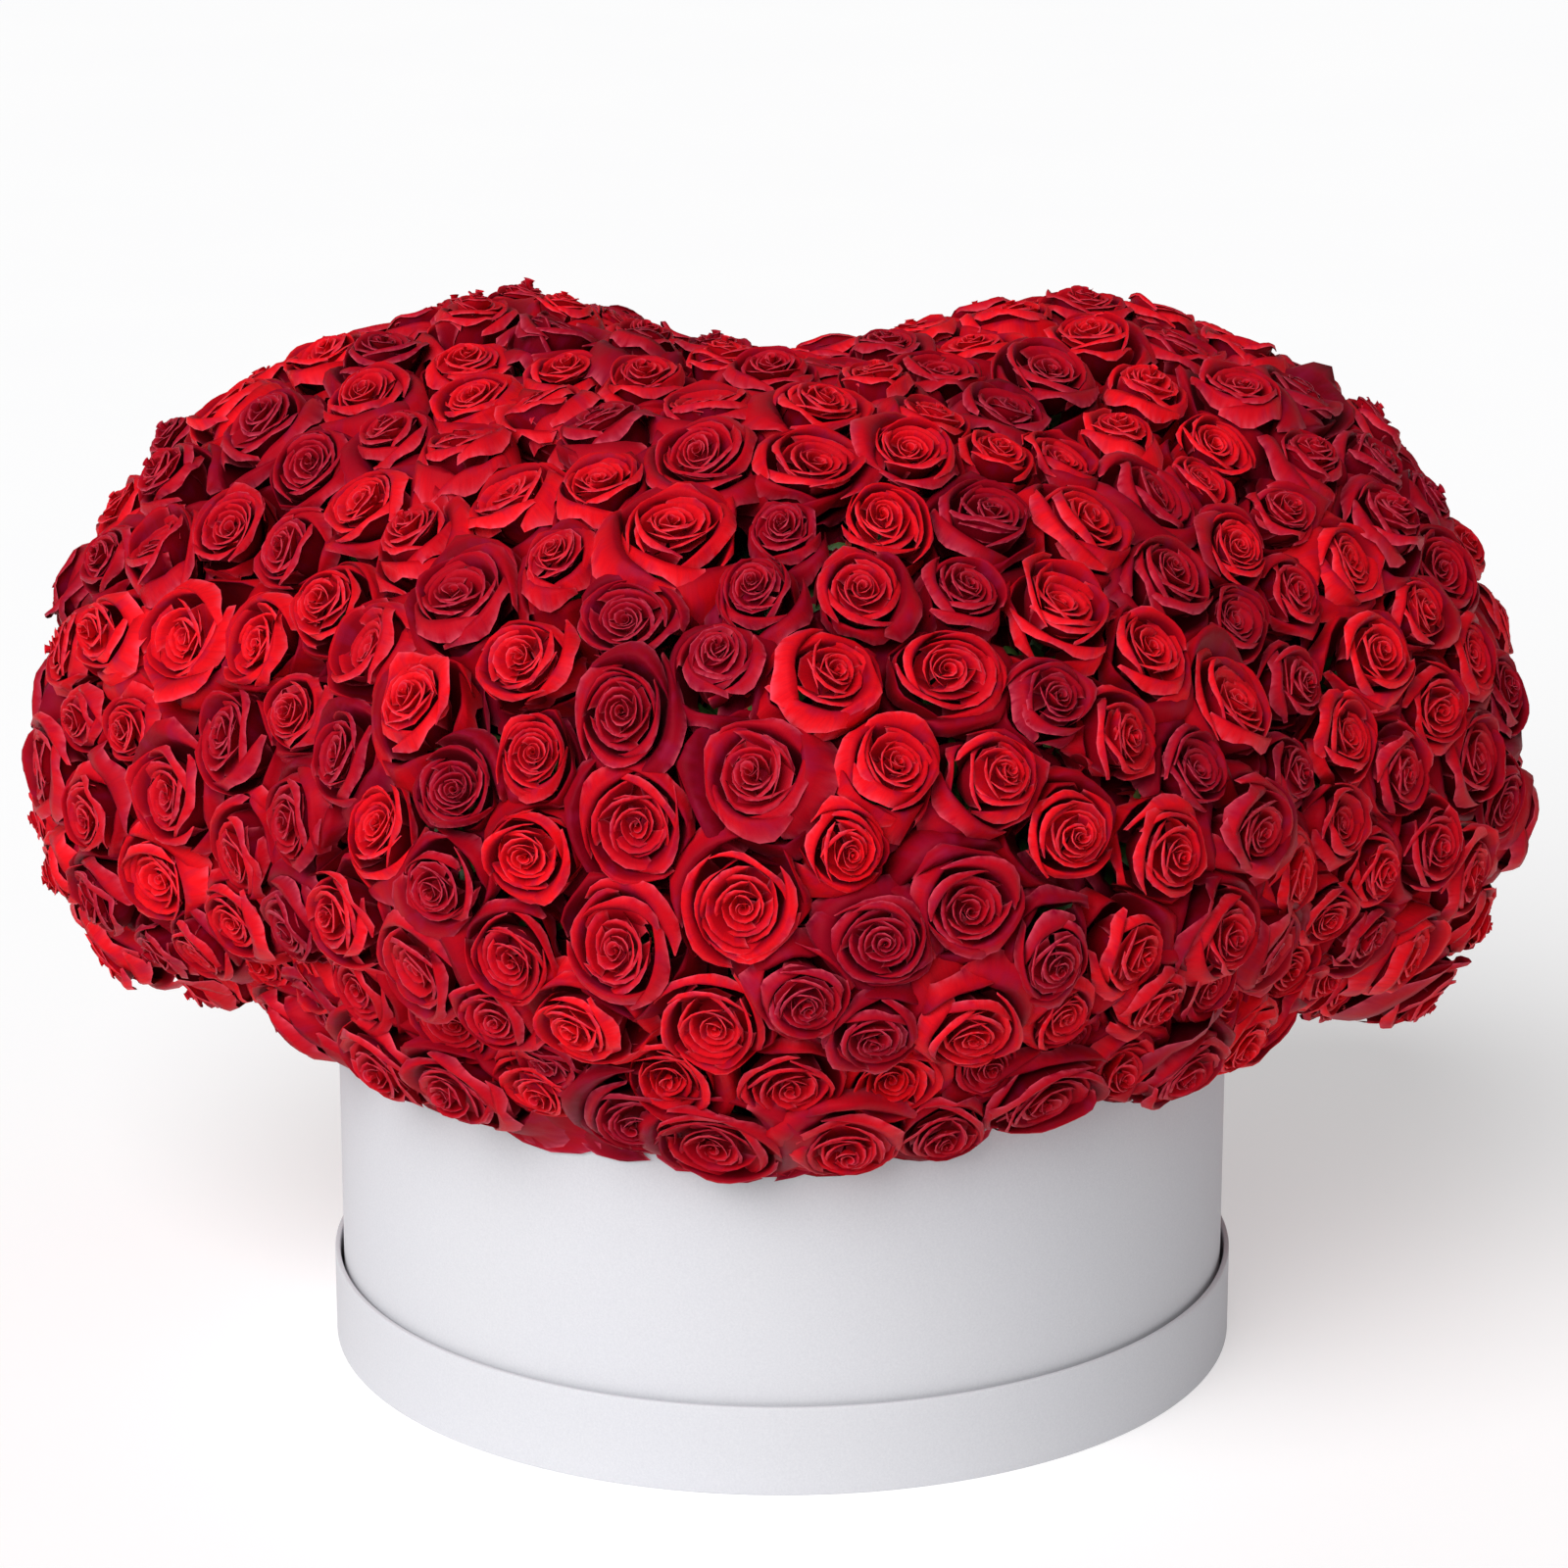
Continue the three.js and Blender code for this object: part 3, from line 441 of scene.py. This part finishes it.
def over_crest(foot, belly, crest, end, v):
    """A cubic curve from foot to end as v goes from 0 to 1. It leaves the foot towards the belly, and its
    third control point is the one that makes it pass the crest at v = 3/4."""
    bend = (crest - foot / 64 - 9 / 64 * belly - 27 / 64 * end) / (27 / 64)
    w = 1 - v
    return w ** 3 * foot + 3 * w ** 2 * v * belly + 3 * w * v ** 2 * bend + v ** 3 * end


def per_rose(values):
    """One value or direction for each rose, laid out to go with points on petals."""
    return values[:, None, None, None]


row_power = 0.6
petal_step, rose_step = 17, 131
own_room = 0.78
heart_reach = 26.0
lip_band = 20.0
# Tone: its darkest and its ranges by rose and by petal, and how far a whorl's darkening by age and painted
# shade lowers it
darkest, tone_range, petal_tone_range, age_and_shade_darkening = 0.17, 0.83, 0.15, 0.45


def petals(turn, half_width, crest, height, lip, droop, foot, depth, belly, columns, rows, spare_room,
           side_drop=0.0, overlap=0.0, ripple=0.0, flatness=0.0, unequal=0.0, uneven=0.0, push_down=0.0,
           age_and_shade=0.2):
    """Petals of one whorl on every rose, as sheets over u, across from -1 to 1, and v, from foot to lip.
    Each section is a cubic curve in radius and height over its crest to its lip. The lip is longest near
    the middle and shortens with a power of |u|, the sides are lower by side_drop times |u| cubed, one side
    lies further out by the overlap, and two sines ripple the edge. Past a share of its room a radius nears
    the whole room by the hyperbolic tangent. Gives points, and two sets of values for the material: look
    (side, nearness to the lip, tone) and weave (how far across and along the petal, and its own offset)."""
    u = np.linspace(-1, 1, columns + 1)[None, None, None, :]
    v = (np.linspace(0, 1, rows + 1) ** row_power)[None, None, :, None]
    seed = np.arange(turn.shape[1])[None] * petal_step + rose[:, None] * rose_step
    skewed, pointed, flat, tall, long, curled, wave_out, wave_up, swollen, lopsided, slanted = [
        chance(seed, draw)[..., None, None] for draw in range(60, 71)]
    turn, half_width, crest, height, lip, droop, foot, depth, spare_room = [
        np.broadcast_to(value, turn.shape)[..., None, None]
        for value in (turn, half_width, crest, height, lip, droop, foot, depth, spare_room)]
    skew = np.clip(np.abs(u - 0.9 * (skewed - 0.5) * (1 - u ** 2)), 0, 1)
    tip = 1 - skew ** (1.4 + 1.4 * pointed)
    crest_out = crest * (1 - flatness * (1 - u ** 2) * (0.4 + 1.2 * flat) + unequal * (swollen - 0.5))
    crest_up = height - side_drop * np.abs(u) ** 3 + uneven * ((tall - 0.5) + 0.9 * (slanted - 0.5) * u)
    lip_out = lip * (0.12 + 0.88 * tip) * (0.55 + 0.9 * long) * (1 + 1.2 * (lopsided - 0.5) * u)
    lip_down = droop * (0.2 + 0.8 * np.sin(np.pi * skew) ** 2 + 1.2 * (curled - 0.35))
    radius = over_crest(foot, foot + belly * (crest_out - foot), crest_out, crest_out + lip_out, v)
    z = over_crest(depth, depth + 0.35 * (crest_up - depth), crest_up, crest_up - lip_down, v)
    radius = radius + overlap * u * v + ripple * v ** 3 * np.sin(4.5 * u + 6.3 * wave_out)
    z = z + 0.8 * ripple * v ** 3 * np.sin(5.5 * u + 6.3 * wave_up)
    angle = turn + half_width * u * (1 - 0.35 * (1 - v) ** 2)

    # The petal in its place on the bloom, kept to the bloom's room
    radius, z = radius * per_rose(bloom_size), z * per_rose(bloom_size)
    angle = per_rose(wound) * angle + per_rose(quarter_turn)
    room = room_at(np.broadcast_to(angle, radius.shape)) + spare_room
    start = own_room * room
    beyond = np.maximum(radius - start, 0)
    kept = np.where(radius > start, start + (room - start) * np.tanh(beyond / (room - start)), radius)
    z = z - push_down * (radius - kept) + surface_fall(kept, angle)
    inner = np.clip(1 - kept / heart_reach, 0, 1)
    across = kept * np.cos(angle) * (1 + squash[..., None, None]) + inner * per_rose(off_centre[:, 0])
    along = kept * np.sin(angle) * (1 - squash[..., None, None]) + inner * per_rose(off_centre[:, 1])
    z = z + inner * (per_rose(tip_over[:, 0]) * across + per_rose(tip_over[:, 1]) * along)
    points = (per_rose(seats) + across[..., None] * per_rose(right) + along[..., None] * per_rose(upper)
              + (z + per_rose(lift))[..., None] * per_rose(axis))

    # What the material reads
    # Tone differs at random by rose and by petal, and is lowered by the whorl's darkening: painted shade low
    # between the blooms, partly age on outer petals
    tone = darkest + tone_range * chance(rose, 73)[:, None] + petal_tone_range * chance(seed, 71)
    tone = (tone * (1 - age_and_shade_darkening * age_and_shade))[..., None, None]
    to_lip = 1 - (1 - v) * (height - depth + 0.6 * lip + 0.5 * (crest - foot)) / lip_band
    own_offset = 40 * chance(seed, 72)[..., None, None]
    look = np.stack(np.broadcast_arrays(u, to_lip, tone, z)[:3], -1)
    weave = np.stack(np.broadcast_arrays(u * half_width * crest, v * (height - depth), own_offset, z)[:3], -1)
    return points, look, weave


def petal_chance(petal, step, draw):
    """A number from 0 to 1 for each rose and each petal of a whorl; the step keeps the roses apart."""
    return chance(rose[:, None] * step + petal, draw)


def turns(count, first, step, jitter, draw):
    """Angles of a whorl's petals, each a step on from the last and moved by chance, and their numbers."""
    petal = np.arange(count)[None]
    return first + step * petal + jitter * (petal_chance(petal, 13, draw) - 0.5), petal


golden = 2.4
heart_room = 9.0

# The throat is one closed cup behind the bud, and the bud is one petal rolled round itself
turn, petal = turns(1, 0.0, 1.0, 3.0, 79)
throat = petals(turn, half_width=np.pi, crest=13.0, height=-7.0 - hollow, lip=0.5, droop=0.1, foot=0.3,
                depth=-11.0 - hollow, belly=0.7, columns=10, rows=2, spare_room=heart_room, age_and_shade=0.6)
turn, petal = turns(1, 0.0, 1.0, 3.0, 80)
bud = petals(turn, half_width=3.6, crest=1.7, height=0.6 - hollow, lip=0.3, droop=0.2, foot=0.4,
             depth=-7.0 - hollow, belly=0.7, columns=14, rows=2, spare_room=heart_room, side_drop=0.5,
             overlap=1.2)

# Inner petals wound in a spiral, each further out than the last
turn, petal = turns(15, 0.6, golden, 0.8, 81)
ring = (2.2 + 1.02 * petal + 0.9 * (petal_chance(petal, 7, 82) - 0.5)) * (0.82 + 0.28 * openness)
rim_height = -hollow * (1 - ring / 22) ** 1.2 + 2.0 * (petal_chance(petal, 5, 83) - 0.5)
spiral = petals(turn, half_width=1.6 - 0.035 * petal, crest=ring, height=rim_height,
                lip=0.3 + 0.07 * petal, droop=0.1 + 0.06 * petal, foot=0.5 * ring,
                depth=rim_height - 3.8 - 0.33 * petal, belly=0.8, columns=6, rows=3,
                spare_room=heart_room, side_drop=2.2, overlap=0.9, ripple=0.25, flatness=0.18, uneven=1.0)

# Cupped petals with rolled rims
turn, petal = turns(5, 1.0, 2 * golden, 0.6, 84)
ring = (16.6 + 1.15 * petal) * (0.84 + 0.22 * openness)
cup = petals(turn, half_width=1.2, crest=ring, height=2.2 - 0.9 * petal, lip=(2.4 + 0.6 * petal) * rolled,
             droop=(2.4 + 0.9 * petal) * rolled, foot=8.0, depth=-22.0, belly=1.05, columns=10, rows=5,
             spare_room=1.0 + 0.6 * taller + 4.0 * on_rim, side_drop=5.0, overlap=1.6, ripple=0.7,
             flatness=0.12, unequal=0.10, uneven=3.5, push_down=0.5, age_and_shade=0.1)

# Outer petals turn right over, and one in five stands out of line. On some roses they are darker, partly as
# older petals and partly as painted shade towards the gaps between the blooms
turn, petal = turns(5, 0.3, 2 * golden, 0.9, 85)
ring = (22.3 + 0.8 * petal) * (0.92 + 0.12 * openness)
room = np.clip(room_at(wound[:, None] * turn + quarter_turn[:, None]) / 30, 0.9, 1.25)
unruly = np.where(petal_chance(petal, 11, 87) > 0.8, 1.0, 0.0)
uneven_edge = 4.0 * (petal_chance(petal, 19, 88) - 0.5)
outer = petals(turn, half_width=1.08 + 0.1 * unruly, crest=ring * room ** 0.6,
               height=-3.5 - 2.2 * petal + 3.0 * unruly,
               lip=(5.6 + 0.4 * petal) * room * rolled ** 0.5 + 6.0 * unruly,
               droop=(6.8 + 1.2 * petal) * rolled, foot=9.0, depth=-30.0, belly=0.95, columns=10, rows=6,
               spare_room=1.2 * taller - 3.5 + 9.0 * unruly + 5.0 * folded + 12.0 * on_rim + uneven_edge,
               side_drop=7.5, overlap=1.5, ripple=1.3, flatness=0.06, unequal=0.14, uneven=4.5,
               push_down=1.0, age_and_shade=1.4 * chance(rose, 93)[:, None] ** 1.3)

# The lowest petals hide the foam between the blooms, and their tone is lowered almost to black as painted
# shade down there
turn, petal = turns(5, 0.9, 2 * golden, 0.9, 86)
ring = (21.5 + 0.4 * petal) * (0.97 + 0.06 * openness) + 5.0 * folded
room = np.clip(room_at(wound[:, None] * turn + quarter_turn[:, None]) / 29, 0.95, 1.7)
uneven_edge = 10.0 * (petal_chance(petal, 19, 89) - 0.5)
lowest = petals(turn, half_width=0.95, crest=ring * room ** 0.8, height=-24.0 - 2.0 * petal,
                lip=8.0 * room, droop=9.0, foot=8.0, depth=-38.0, belly=0.85, columns=8, rows=5,
                spare_room=0.4 * taller + 2.5 + 26.0 * folded - 3.0 * on_rim + uneven_edge,
                side_drop=5.5, overlap=1.2, ripple=2.6, flatness=0.03, unequal=0.14, uneven=11.0, age_and_shade=2.2)
whorls = [throat, bud, spiral, cup, outer, lowest]

wall_gap, rim_gap, rim_slope = 2.5, 3.0, 8.0
box_clear = box_radius + wall_gap


def outside_box(points, extra=0.0):
    """Points beside the box's wall move out to just clear of it. Above the rim the clearance shrinks by a
    multiple of the height."""
    reach = np.hypot(points[..., 0], points[..., 1])
    above_rim = np.maximum(points[..., 2] - box_top - rim_gap - extra, 0)
    out_by = np.maximum(reach, extra + box_clear - rim_slope * above_rim) / reach
    return points * np.stack([out_by, out_by, np.ones_like(out_by)], -1)


def repeated(quads, points_each, copies, first=0):
    """The same quads for each of some copies, whose points follow each other from number first on."""
    starts = first + points_each * np.arange(copies)
    return (starts[:, None, None] + quads[None]).reshape(-1, 4)


def maths(tree, operation, first, second=0.0):
    """The result of a Math node."""
    return node(tree, "Math", {0: first, 1: second}, operation=operation).outputs[0]


def ramp(tree, value, low, high, most=1.0):
    """0 up to low, then rising to most at high."""
    inputs = {"Value": value, "From Min": low, "From Max": high, "To Max": most}
    return node(tree, "MapRange", inputs).outputs[0]


# Velvet red petals, with bruises and fine veins. Painted shade keeps them dark low in the cup, bright towards
# the lip, and dark in a band just inside the lip of the darker ones; a thin pale pink painted highlight runs
# along the lip and sides
# The deep colours are painted shade for the low parts of the petals, and the bright ones are the colours
# towards the lip
dark_tone_painted_shade, light_tone_painted_shade = (0.11, 0.0005, 0.006, 1.0), (0.25, 0.001, 0.006, 1.0)
dark_tone_bright, light_tone_bright = (0.19, 0.0010, 0.0105, 1.0), (0.80, 0.0042, 0.0085, 1.0)
bruise_red, vein_red = (0.22, 0.005, 0.034, 1.0), (0.22, 0.001, 0.011, 1.0)
# The red of the painted shade just inside the lip, and the pale pink of the painted rim highlight
margin_red, rim_highlight_pink = (0.17, 0.002, 0.022, 1.0), (0.78, 0.09, 0.14, 1.0)
velvet, tree, shader = new_material("red_rose_petal")
look = node(tree, "Attribute", attribute_name="petal_look", attribute_type="GEOMETRY").outputs["Vector"]
weave = node(tree, "Attribute", attribute_name="petal_weave", attribute_type="GEOMETRY").outputs["Vector"]
side, rise, tone = node(tree, "SeparateXYZ", {"Vector": look}).outputs
along_petal = node(tree, "Mapping", {"Vector": weave, "Scale": (0.9, 0.12, 1.0)}).outputs[0]
veins = node(tree, "TexNoise", {"Vector": along_petal, "Scale": 1.0, "Detail": 4.0, "Roughness": 0.6})
bruise = node(tree, "TexNoise", {"Vector": weave, "Scale": 0.11, "Detail": 2.0})
# A noise that breaks up the painted rim highlight
highlight_breakup = node(tree, "TexNoise", {"Vector": weave, "Scale": 0.35, "Detail": 3.0})
# Painted shade: the lower part of each petal, down in the cup where shade falls, is dark, and it brightens
# towards the lip
deep = colour_mix(tree, tone, dark_tone_painted_shade, light_tone_painted_shade)
bright = colour_mix(tree, tone, dark_tone_bright, light_tone_bright)
body = colour_mix(tree, ramp(tree, rise, 0.4, 0.9), deep, bright)
body = colour_mix(tree, ramp(tree, bruise.outputs["Fac"], 0.5, 0.72, 0.6), body, bruise_red)
body = colour_mix(tree, ramp(tree, veins.outputs["Fac"], 0.45, 0.75, 0.28), body, vein_red)
# Painted shade: a dark band just inside the lip, strongest on the darker petals, where the lip turns over and
# one petal parts from the next
darker_petal_share = ramp(tree, tone, 0.75, 0.25, 0.75)
margin = maths(tree, "MULTIPLY", ramp(tree, rise, 0.84, 0.98), darker_petal_share)
body = colour_mix(tree, margin, body, margin_red)
# Painted highlight: a thin pale pink line along the lip and the sides, where rolled edges catch the light,
# broken up by a noise
to_side = maths(tree, "ABSOLUTE", side)
rim = maths(tree, "MAXIMUM", maths(tree, "POWER", rise, 19.0), maths(tree, "POWER", to_side, 24.0))
rim_highlight = maths(tree, "MULTIPLY", rim, ramp(tree, highlight_breakup.outputs["Fac"], 0.3, 0.6, 0.66))
body = colour_mix(tree, rim_highlight, body, rim_highlight_pink)
nap = node(tree, "Bump", {"Height": veins.outputs["Fac"], "Strength": 0.22, "Distance": 0.5 * MM})
feed(tree, shader, {
    "Base Color": body, "Normal": nap.outputs["Normal"], "Roughness": 0.5, "Specular IOR Level": 0.12,
    "Specular Tint": (1.0, 0.2, 0.28, 1.0), "Sheen Weight": 0.02, "Sheen Roughness": 0.45,
    "Sheen Tint": (1.0, 0.3, 0.38, 1.0)})

for bunch in range(bunches):
    own = np.flatnonzero(bunch_of == bunch)
    bunch_points, bunch_quads, bunch_look, bunch_weave = [], [], [], []
    first = 0
    for points, look, weave in whorls:
        rows, columns = points.shape[2:4]
        for winding in (1.0, -1.0):
            some = own[wound[own] == winding]
            sheets = len(some) * points.shape[1]
            quads = grid_quads(rows, columns, flipped=winding > 0)
            bunch_quads.append(repeated(quads, rows * columns, sheets, first))
            bunch_points.append(outside_box(points[some].reshape(-1, 3)))
            bunch_look.append(look[some].reshape(-1, 3))
            bunch_weave.append(weave[some].reshape(-1, 3))
            first += sheets * rows * columns
    attributes = (("petal_look", np.concatenate(bunch_look)), ("petal_weave", np.concatenate(bunch_weave)))
    piece = make_piece(f"rose_bunch_{bunch + 1:02d}_petals", np.concatenate(bunch_points),
                       np.concatenate(bunch_quads), velvet, attributes)
    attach(piece, "root")
    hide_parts(f"rose_bunch_{bunch + 1:02d}")


# Stems and sepals.
# Under each bloom is its green hip with five pointed sepals, and a stem that is cut short and stuck into the
# foam. The stems of the lowest row bend over the box's rim. All of them are one piece.
stem_radius, stem_sides, stem_steps, stem_length = 2.6, 5, 8, 100.0
hip_radius, hip_neck, hip_top, hip_depth = 6.0, 4.5, 7.0, 38.0
near_bend, far_bend = 12.0, 20.0
rim_margin = 20.0
depths_looked_at = np.array([24.0, 60.0, 110.0])
over_rim_at, past_rim_at = (268.0, 246.0), (228.0, 208.0)
into_foam = unit(np.stack([places[:, 0] / 2, places[:, 1] / 2, places[:, 2] - heart_middle[2]], 1))
base = outside_box(seats + (lift - hip_depth * bloom_size)[:, None] * axis, stem_radius + 4.0)
start_bend = outside_box(base - near_bend * axis, stem_radius + 1.0)
sunk = places[:, None] - depths_looked_at[None, :, None] * into_foam[:, None]
sunk_reach = np.hypot(sunk[..., 0], sunk[..., 1])
crosses_rim = ((sunk[..., 2] < box_top + rim_margin) & (sunk_reach < box_clear + rim_margin)).any(1)
rim_way = np.stack([outward * reach + [0.0, 0.0, height] for reach, height in (over_rim_at, past_rim_at)], 1)
straight = np.stack([base - far_bend * axis, places - stem_length * into_foam], 1)
end_bend, foot_point = np.moveaxis(np.where(crosses_rim[:, None, None], rim_way, straight), 1, 0)

# Each stem follows a cubic curve from the hip, which is its thick first part
t = np.linspace(0, 1, stem_steps)[None, :, None]
spine = ((1 - t) ** 3 * base[:, None] + 3 * (1 - t) ** 2 * t * start_bend[:, None]
         + 3 * (1 - t) * t ** 2 * end_bend[:, None] + t ** 3 * foot_point[:, None])
spine = np.concatenate([(base + hip_top * axis)[:, None], spine], 1)
thick = np.full(stem_steps + 1, stem_radius)
thick[:2] = hip_radius, hip_neck
ahead = unit(np.gradient(spine, axis=1))
beside = unit(np.cross(ahead, right[:, None]))
above = np.cross(ahead, beside)
round_stem = 2 * np.pi * np.arange(stem_sides) / stem_sides
stem_points = spine[:, :, None] + thick[None, :, None, None] * (
    np.cos(round_stem)[None, None, :, None] * beside[:, :, None]
    + np.sin(round_stem)[None, None, :, None] * above[:, :, None])

# A sepal is a pointed leaf, raised a little along its middle, that arches out from the hip and hangs
sepal_rows, sepal_columns = 5, 3
shortest_sepal, sepal_length_range, sepal_width = 17.0, 12.0, 6.72
sepal_arch, sepal_hang, sepal_fold = 9.0, 8.0, 1.2
u = np.linspace(-1, 1, sepal_columns)[None, None, None, :]
v = np.linspace(0, 1, sepal_rows)[None, None, :, None]
turn, sepal = turns(5, 0.4, 2 * np.pi / 5, 0.5, 90)
turn = turn[..., None, None]
length = (shortest_sepal + sepal_length_range * petal_chance(sepal, 3, 91))[..., None, None]
hang = (sepal_hang * (petal_chance(sepal, 3, 92) - 0.35))[..., None, None]
across = sepal_width * u * (v + 0.35) * (1.02 - v) ** 0.7
reach = 0.7 * hip_radius + length * v
height = -hip_depth + sepal_arch * np.sin(2.2 * v) - hang * v ** 2 - sepal_fold * np.abs(u) * (1 - v)
height = height * per_rose(bloom_size) + per_rose(lift)
sepal_points = (per_rose(seats)
                + (reach * np.cos(turn) - across * np.sin(turn))[..., None] * per_rose(right)
                + (reach * np.sin(turn) + across * np.cos(turn))[..., None] * per_rose(upper)
                + height[..., None] * per_rose(axis))

green, tree, shader = new_material("green_rose_stem")
leafy = grain(tree, Scale=180.0, Detail=4.0, First=(0.025, 0.070, 0.012, 1.0),
              Second=(0.07, 0.15, 0.03, 1.0), Strength=0.3, Distance=0.6 * MM)
feed(tree, shader, {"Base Color": leafy["Color"], "Normal": leafy["Normal"], "Roughness": 0.5})

stem_points = stem_points.reshape(-1, 3)
stem_quads = repeated(grid_quads(stem_steps + 1, stem_sides, closed_columns=True),
                      (stem_steps + 1) * stem_sides, roses)
sepal_quads = repeated(grid_quads(sepal_rows, sepal_columns), sepal_rows * sepal_columns, 5 * roses,
                       len(stem_points))
piece = make_piece("rose_stems_and_sepals",
                   np.concatenate([stem_points, outside_box(sepal_points.reshape(-1, 3))]),
                   np.concatenate([stem_quads, sepal_quads]), green)
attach(piece, "root")


# Floor, light and camera.
# A plain white sweep under soft studio light from the upper left, seen as the photograph sees it. The floor
# glows a little, as a lit white sweep does, and the backdrop is white to the camera alone.
floor_reach = 40
floor_mesh = bpy.data.meshes.new("studio_floor")
corners = ((-1, -1), (1, -1), (1, 1), (-1, 1))
floor_mesh.from_pydata([(x * floor_reach, y * floor_reach, 0) for x, y in corners], [], [(0, 1, 2, 3)])
floor = bpy.data.objects.new("studio_floor", floor_mesh)
bpy.context.scene.collection.objects.link(floor)
white, tree, shader = new_material("pale_floor")
speckle = grain(tree, Scale=3.0, Detail=2.0, First=(0.635, 0.635, 0.645, 1.0),
                Second=(0.655, 0.655, 0.655, 1.0))
feed(tree, shader, {"Base Color": speckle["Color"], "Emission Color": plain_white,
                    "Emission Strength": 0.40, "Roughness": 0.8})
floor_mesh.materials.append(white)

fill_light = 0.24
studio = bpy.data.worlds.new("studio")
studio.use_nodes = True
tree = studio.node_tree
seen = node(tree, "LightPath").outputs["Is Camera Ray"]
backdrop = node(tree, "MapRange", {"Value": seen, "To Min": fill_light, "To Max": 1.0})
feed(tree, tree.nodes["Background"], {"Color": plain_white, "Strength": backdrop.outputs[0]})
bpy.context.scene.world = studio

key = bpy.data.lights.new("wide_soft_key", "SUN")
key.energy = 3.4
key.angle = math.radians(52)
key_holder = bpy.data.objects.new("wide_soft_key", key)
bpy.context.scene.collection.objects.link(key_holder)
to_key = unit(np.array([-0.40, -0.69, 0.63]))
key_holder.rotation_euler = (math.acos(to_key[2]), 0.0, math.atan2(to_key[1], to_key[0]) + math.pi / 2)

looks_down = 16.4536
camera = bpy.data.cameras.new("camera")
camera.lens = 120.0
camera.sensor_width = 36.0
camera_holder = bpy.data.objects.new("camera", camera)
bpy.context.scene.collection.objects.link(camera_holder)
camera_holder.location = (0.00106, -2.7974, 1.1431)
camera_holder.rotation_euler = (math.radians(90 - looks_down), 0.0, 0.0)
bpy.context.scene.camera = camera_holder
bpy.context.scene.view_settings.view_transform = "Standard"
